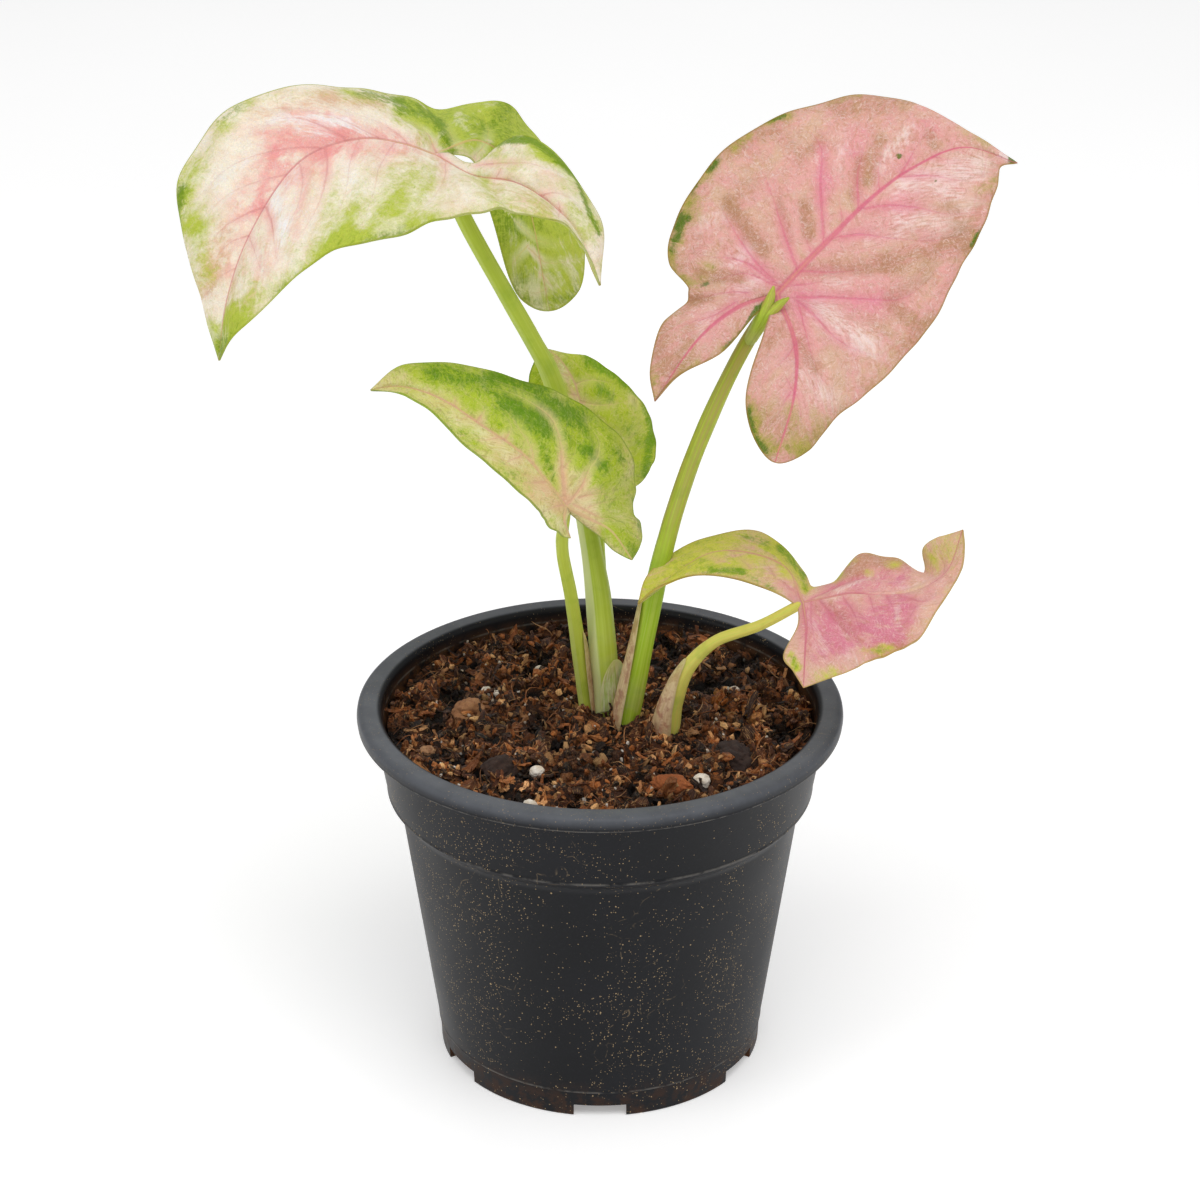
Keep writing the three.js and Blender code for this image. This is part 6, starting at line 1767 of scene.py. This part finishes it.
# count on the whole top, least and most size, tilt, sink in m, and the shapes that are strewn
strewn = {
    "mix_bark_flakes": {
        "count": 170, "size": (0.45, 1.05), "tilt": 0.7, "sink": 0.0003, "seed": 15,
        "paint": barkPaint, "mark": "w", "make": shred,
        "shapes": [(7.0, 2.8, 0.7, 0.9, 51), (5.5, 3.4, 0.8, 0.6, 52), (8.5, 2.2, 0.6, 1.3, 53),
                   (4.6, 3.0, 0.9, -0.5, 54), (6.2, 2.0, 0.6, 1.6, 55)],
    },
    "mix_bark_bits": {
        "count": 650, "size": (0.45, 1.25), "tilt": 1.0, "sink": 0.0003, "seed": 5,
        "paint": barkPaint, "mark": "c", "make": shred,
        "shapes": [(3.6, 1.4, 0.45, 0.5, 1), (2.8, 1.6, 0.5, 0.3, 2), (4.6, 1.1, 0.4, 0.8, 3),
                   (2.2, 1.5, 0.5, -0.3, 4)],
    },
    "mix_dark_clods": {
        "count": 520, "size": (0.4, 1.0), "tilt": 1.5, "sink": -0.0004, "seed": 16,
        "paint": humusPaint, "mark": "k", "make": flake,
        "shapes": [((4.2, 3.4, 3.0), 61, 2, 0.3), ((3.2, 2.6, 2.2), 62, 2, 0.34),
                   ((6.0, 4.0, 3.2), 63, 2, 0.28), ((5.0, 2.8, 2.4), 64, 2, 0.34)],
    },
    "mix_dark_crumbs": {
        "count": 2300, "size": (0.5, 1.5), "tilt": 1.5, "sink": 0.0002, "seed": 6,
        "paint": humusPaint, "mark": "d", "make": flake,
        "shapes": [((1.6, 1.2, 1.0), 11), ((1.2, 0.9, 0.7), 12), ((2.4, 1.5, 1.1), 13),
                   ((2.9, 1.2, 0.9), 14)],
    },
    "mix_fibres": {
        "count": 330, "size": (0.5, 1.2), "tilt": 0.6, "sink": 0.0009, "seed": 7,
        "paint": fibrePaint, "mark": "f", "make": strand,
        "shapes": [(6.5, 0.12, 21), (4.5, 0.1, 22), (8.5, 0.12, 23)],
    },
    "mix_pale_specks": {
        "count": 150, "size": (0.5, 1.3), "tilt": 1.5, "sink": 0.0006, "seed": 8,
        "paint": palePaint, "mark": "s", "make": flake,
        "shapes": [((1.2, 1.0, 0.9), 31), ((0.8, 0.7, 0.6), 32)],
    },
}
area = math.pi * (mix["strewRadius"] * mm) ** 2
for name, rule in strewn.items():
    bits = [rule["make"](f'{rule["mark"]}{i + 1}', *shape) for i, shape in enumerate(rule["shapes"])]
    strew(name, bits, {"Amount": rule["count"] / area, "Least Size": rule["size"][0],
                       "Most Size": rule["size"][1], "Tilt": rule["tilt"], "Sink": rule["sink"],
                       "Seed": rule["seed"], "Material": rule["paint"]})
print("strewn bits done")


# x, y, width, depth, height, turn in degrees
barkChunks = [[-32.3, 0.3, 9, 8, 7, 20], [-24, -27.5, 10, 8, 6, 65], [32, -21.5, 11, 9, 7, 110],
              [17, -37, 9.5, 5, 5, 170], [-42, -17.5, 4, 3.6, 3.4, 10]]
perliteGrains = [[24, -34.5, 4.6, 4.2, 4], [-15, -30.5, 3.8, 3, 3], [-16.5, -45, 3.8, 3, 3],
                 [-25, 11.5, 3.2, 2.8, 2.6], [-28.5, 14.5, 2.8, 2.4, 2.4], [33.5, 13.5, 3.4, 2.8, 2.6],
                 [36, 6, 3, 2.6, 2.6], [-15.5, 28, 2.8, 2.4, 2.4]]
barkPaints = [("A87850", "8A5A38", "5A3420"), ("2B1A13", "3A241A", "160C08"), ("2A1B16", "3A261E", "150C09"),
              ("A9602F", "8C4A22", "4A2412"), ("B08560", "8F6444", "5C3A25")]


def stoneMaterial(name, tones):
    s = Shade(name)
    spot = s.spot()
    tone = s.noise(spot, 420, 4, 0.65, 0.6)
    pits = s.ramp(s.cells(spot, 1100), 0.0, 0.22, 1.0, 0.0)
    grain = s.noise(spot, 2400, 3, 0.7)
    colour = s.mix(s.ramp(tone, 0.35, 0.65), tones[0], tones[1])
    # painted shade: the pits are darker
    colour = s.mix(s.times(pits, 0.8), colour, tones[2])
    colour = s.mix(s.ramp(grain, 0.4, 0.7, 0.0, 0.35), colour, tones[2])
    normal = s.bump(s.add(s.times(grain, 0.5), s.times(pits, -1.0)), 0.7, 0.0006)
    return s.finish(Base_Color=colour, Roughness=0.85, Normal=normal)


def fineStone(name, size, seed, roughness, material):
    x, y, width, depth, height = size[:5]
    turn = math.radians(size[5]) if len(size) > 5 else 0.0
    bm = bmesh.new()
    bmesh.ops.create_icosphere(bm, subdivisions=5, radius=0.5)
    z0 = mixHeight(x, y, 60) + height * 0.12
    shift = Vector((seed * 3.1, seed * 1.7, seed * 0.9))
    for v in bm.verts:
        d = v.co.normalized()
        k = 0.98 + roughness * (0.9 * noise.noise(d * 1.5 + shift) + 0.5 * noise.noise(d * 3.5 + shift))
        k += roughness * 0.35 * (0.5 - noise.voronoi(d * 4 + shift)[0][0])
        p = Vector((v.co.x * width * k, v.co.y * depth * k, v.co.z * height * k))
        v.co = Vector((x + p.x * math.cos(turn) - p.y * math.sin(turn),
                       y + p.x * math.sin(turn) + p.y * math.cos(turn), z0 + p.z)) * mm
    mesh = bpy.data.meshes.new(name)
    bm.to_mesh(mesh)
    bm.free()
    mesh.polygons.foreach_set("use_smooth", [True] * len(mesh.polygons))
    mesh.materials.append(material)
    stone = bpy.data.objects.new(name, mesh)
    scene.collection.objects.link(stone)
    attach(stone, "root")
    return stone


for i, size in enumerate(barkChunks):
    node = f"bark_chunk_{i + 1}"
    stone = fineStone(node + "_fine", size, 50 + i, 0.26, stoneMaterial(f"bark{i + 1}", barkPaints[i]))
    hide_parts(node)
perlite = stoneMaterial("perliteWhite", ("EEE7DC", "DCCDB8", "A98F74"))
for i, size in enumerate(perliteGrains):
    node = f"perlite_grain_{i + 1}"
    stone = fineStone(node + "_fine", size, 80 + i, 0.16, perlite)
    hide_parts(node)
print("stones done")


studio = {
    "floorGlow": 0.3, "roomLight": 0.38, "floorReach": 4000, "floorLevel": -0.05,  # mm
    "lens": 100.0, "eye": (0.0, -0.7311, 0.472), "lookDown": 25.56,
    "lamps": {
        # place, aim, size, power
        "topFront": ((0.1, -0.55, 1.25), (0, 0, 0.12), 0.9, 8.0),
        "left": ((-1.1, -0.5, 0.7), (0, 0, 0.12), 0.8, 3.0),
        "right": ((1.1, -0.4, 0.7), (0, 0, 0.12), 0.8, 2.0),
        "back": ((0.0, 1.0, 1.1), (0, 0, 0.15), 1.0, 3.0),
    },
}


def floorMaterial():
    s = Shade("paleFloor")
    tone = s.noise(s.spot(), 3, 2)
    return s.finish(Base_Color=s.mix(s.ramp(tone, 0.3, 0.7), (0.93, 0.93, 0.93, 1), (0.95, 0.95, 0.95, 1)),
                    Roughness=0.7, Specular_IOR_Level=0.2, Emission_Color=(1.0, 1.0, 1.0, 1.0),
                    Emission_Strength=studio["floorGlow"])


reach, level = studio["floorReach"], studio["floorLevel"]
floor = meshPiece("floor", [(-reach, -reach, level), (reach, -reach, level), (reach, reach, level),
                            (-reach, reach, level)], [[0, 1, 2, 3]], floorMaterial(), smooth=False)

for name, (spotAt, aim, size, power) in studio["lamps"].items():
    light = bpy.data.lights.new(name, "AREA")
    light.shape, light.size, light.energy = "SQUARE", size, power
    lamp = bpy.data.objects.new(name, light)
    lamp.location = spotAt
    lamp.rotation_euler = (Vector(aim) - Vector(spotAt)).to_track_quat("-Z", "Y").to_euler()
    scene.collection.objects.link(lamp)

world = bpy.data.worlds.new("paleRoom")
scene.world = world
world.use_nodes = True
room = world.node_tree.nodes["Background"]
room.inputs["Color"].default_value = (1.0, 1.0, 1.0, 1.0)
room.inputs["Strength"].default_value = studio["roomLight"]
scene.view_settings.view_transform = "Standard"

camera = bpy.data.cameras.new("camera")
camera.lens, camera.sensor_width = studio["lens"], 36.0
camera.clip_start, camera.clip_end = 0.05, 20.0
viewer = bpy.data.objects.new("camera", camera)
viewer.location = studio["eye"]
viewer.rotation_euler = (math.radians(90 - studio["lookDown"]), 0, 0)
scene.collection.objects.link(viewer)
scene.camera = viewer
print("stage done")
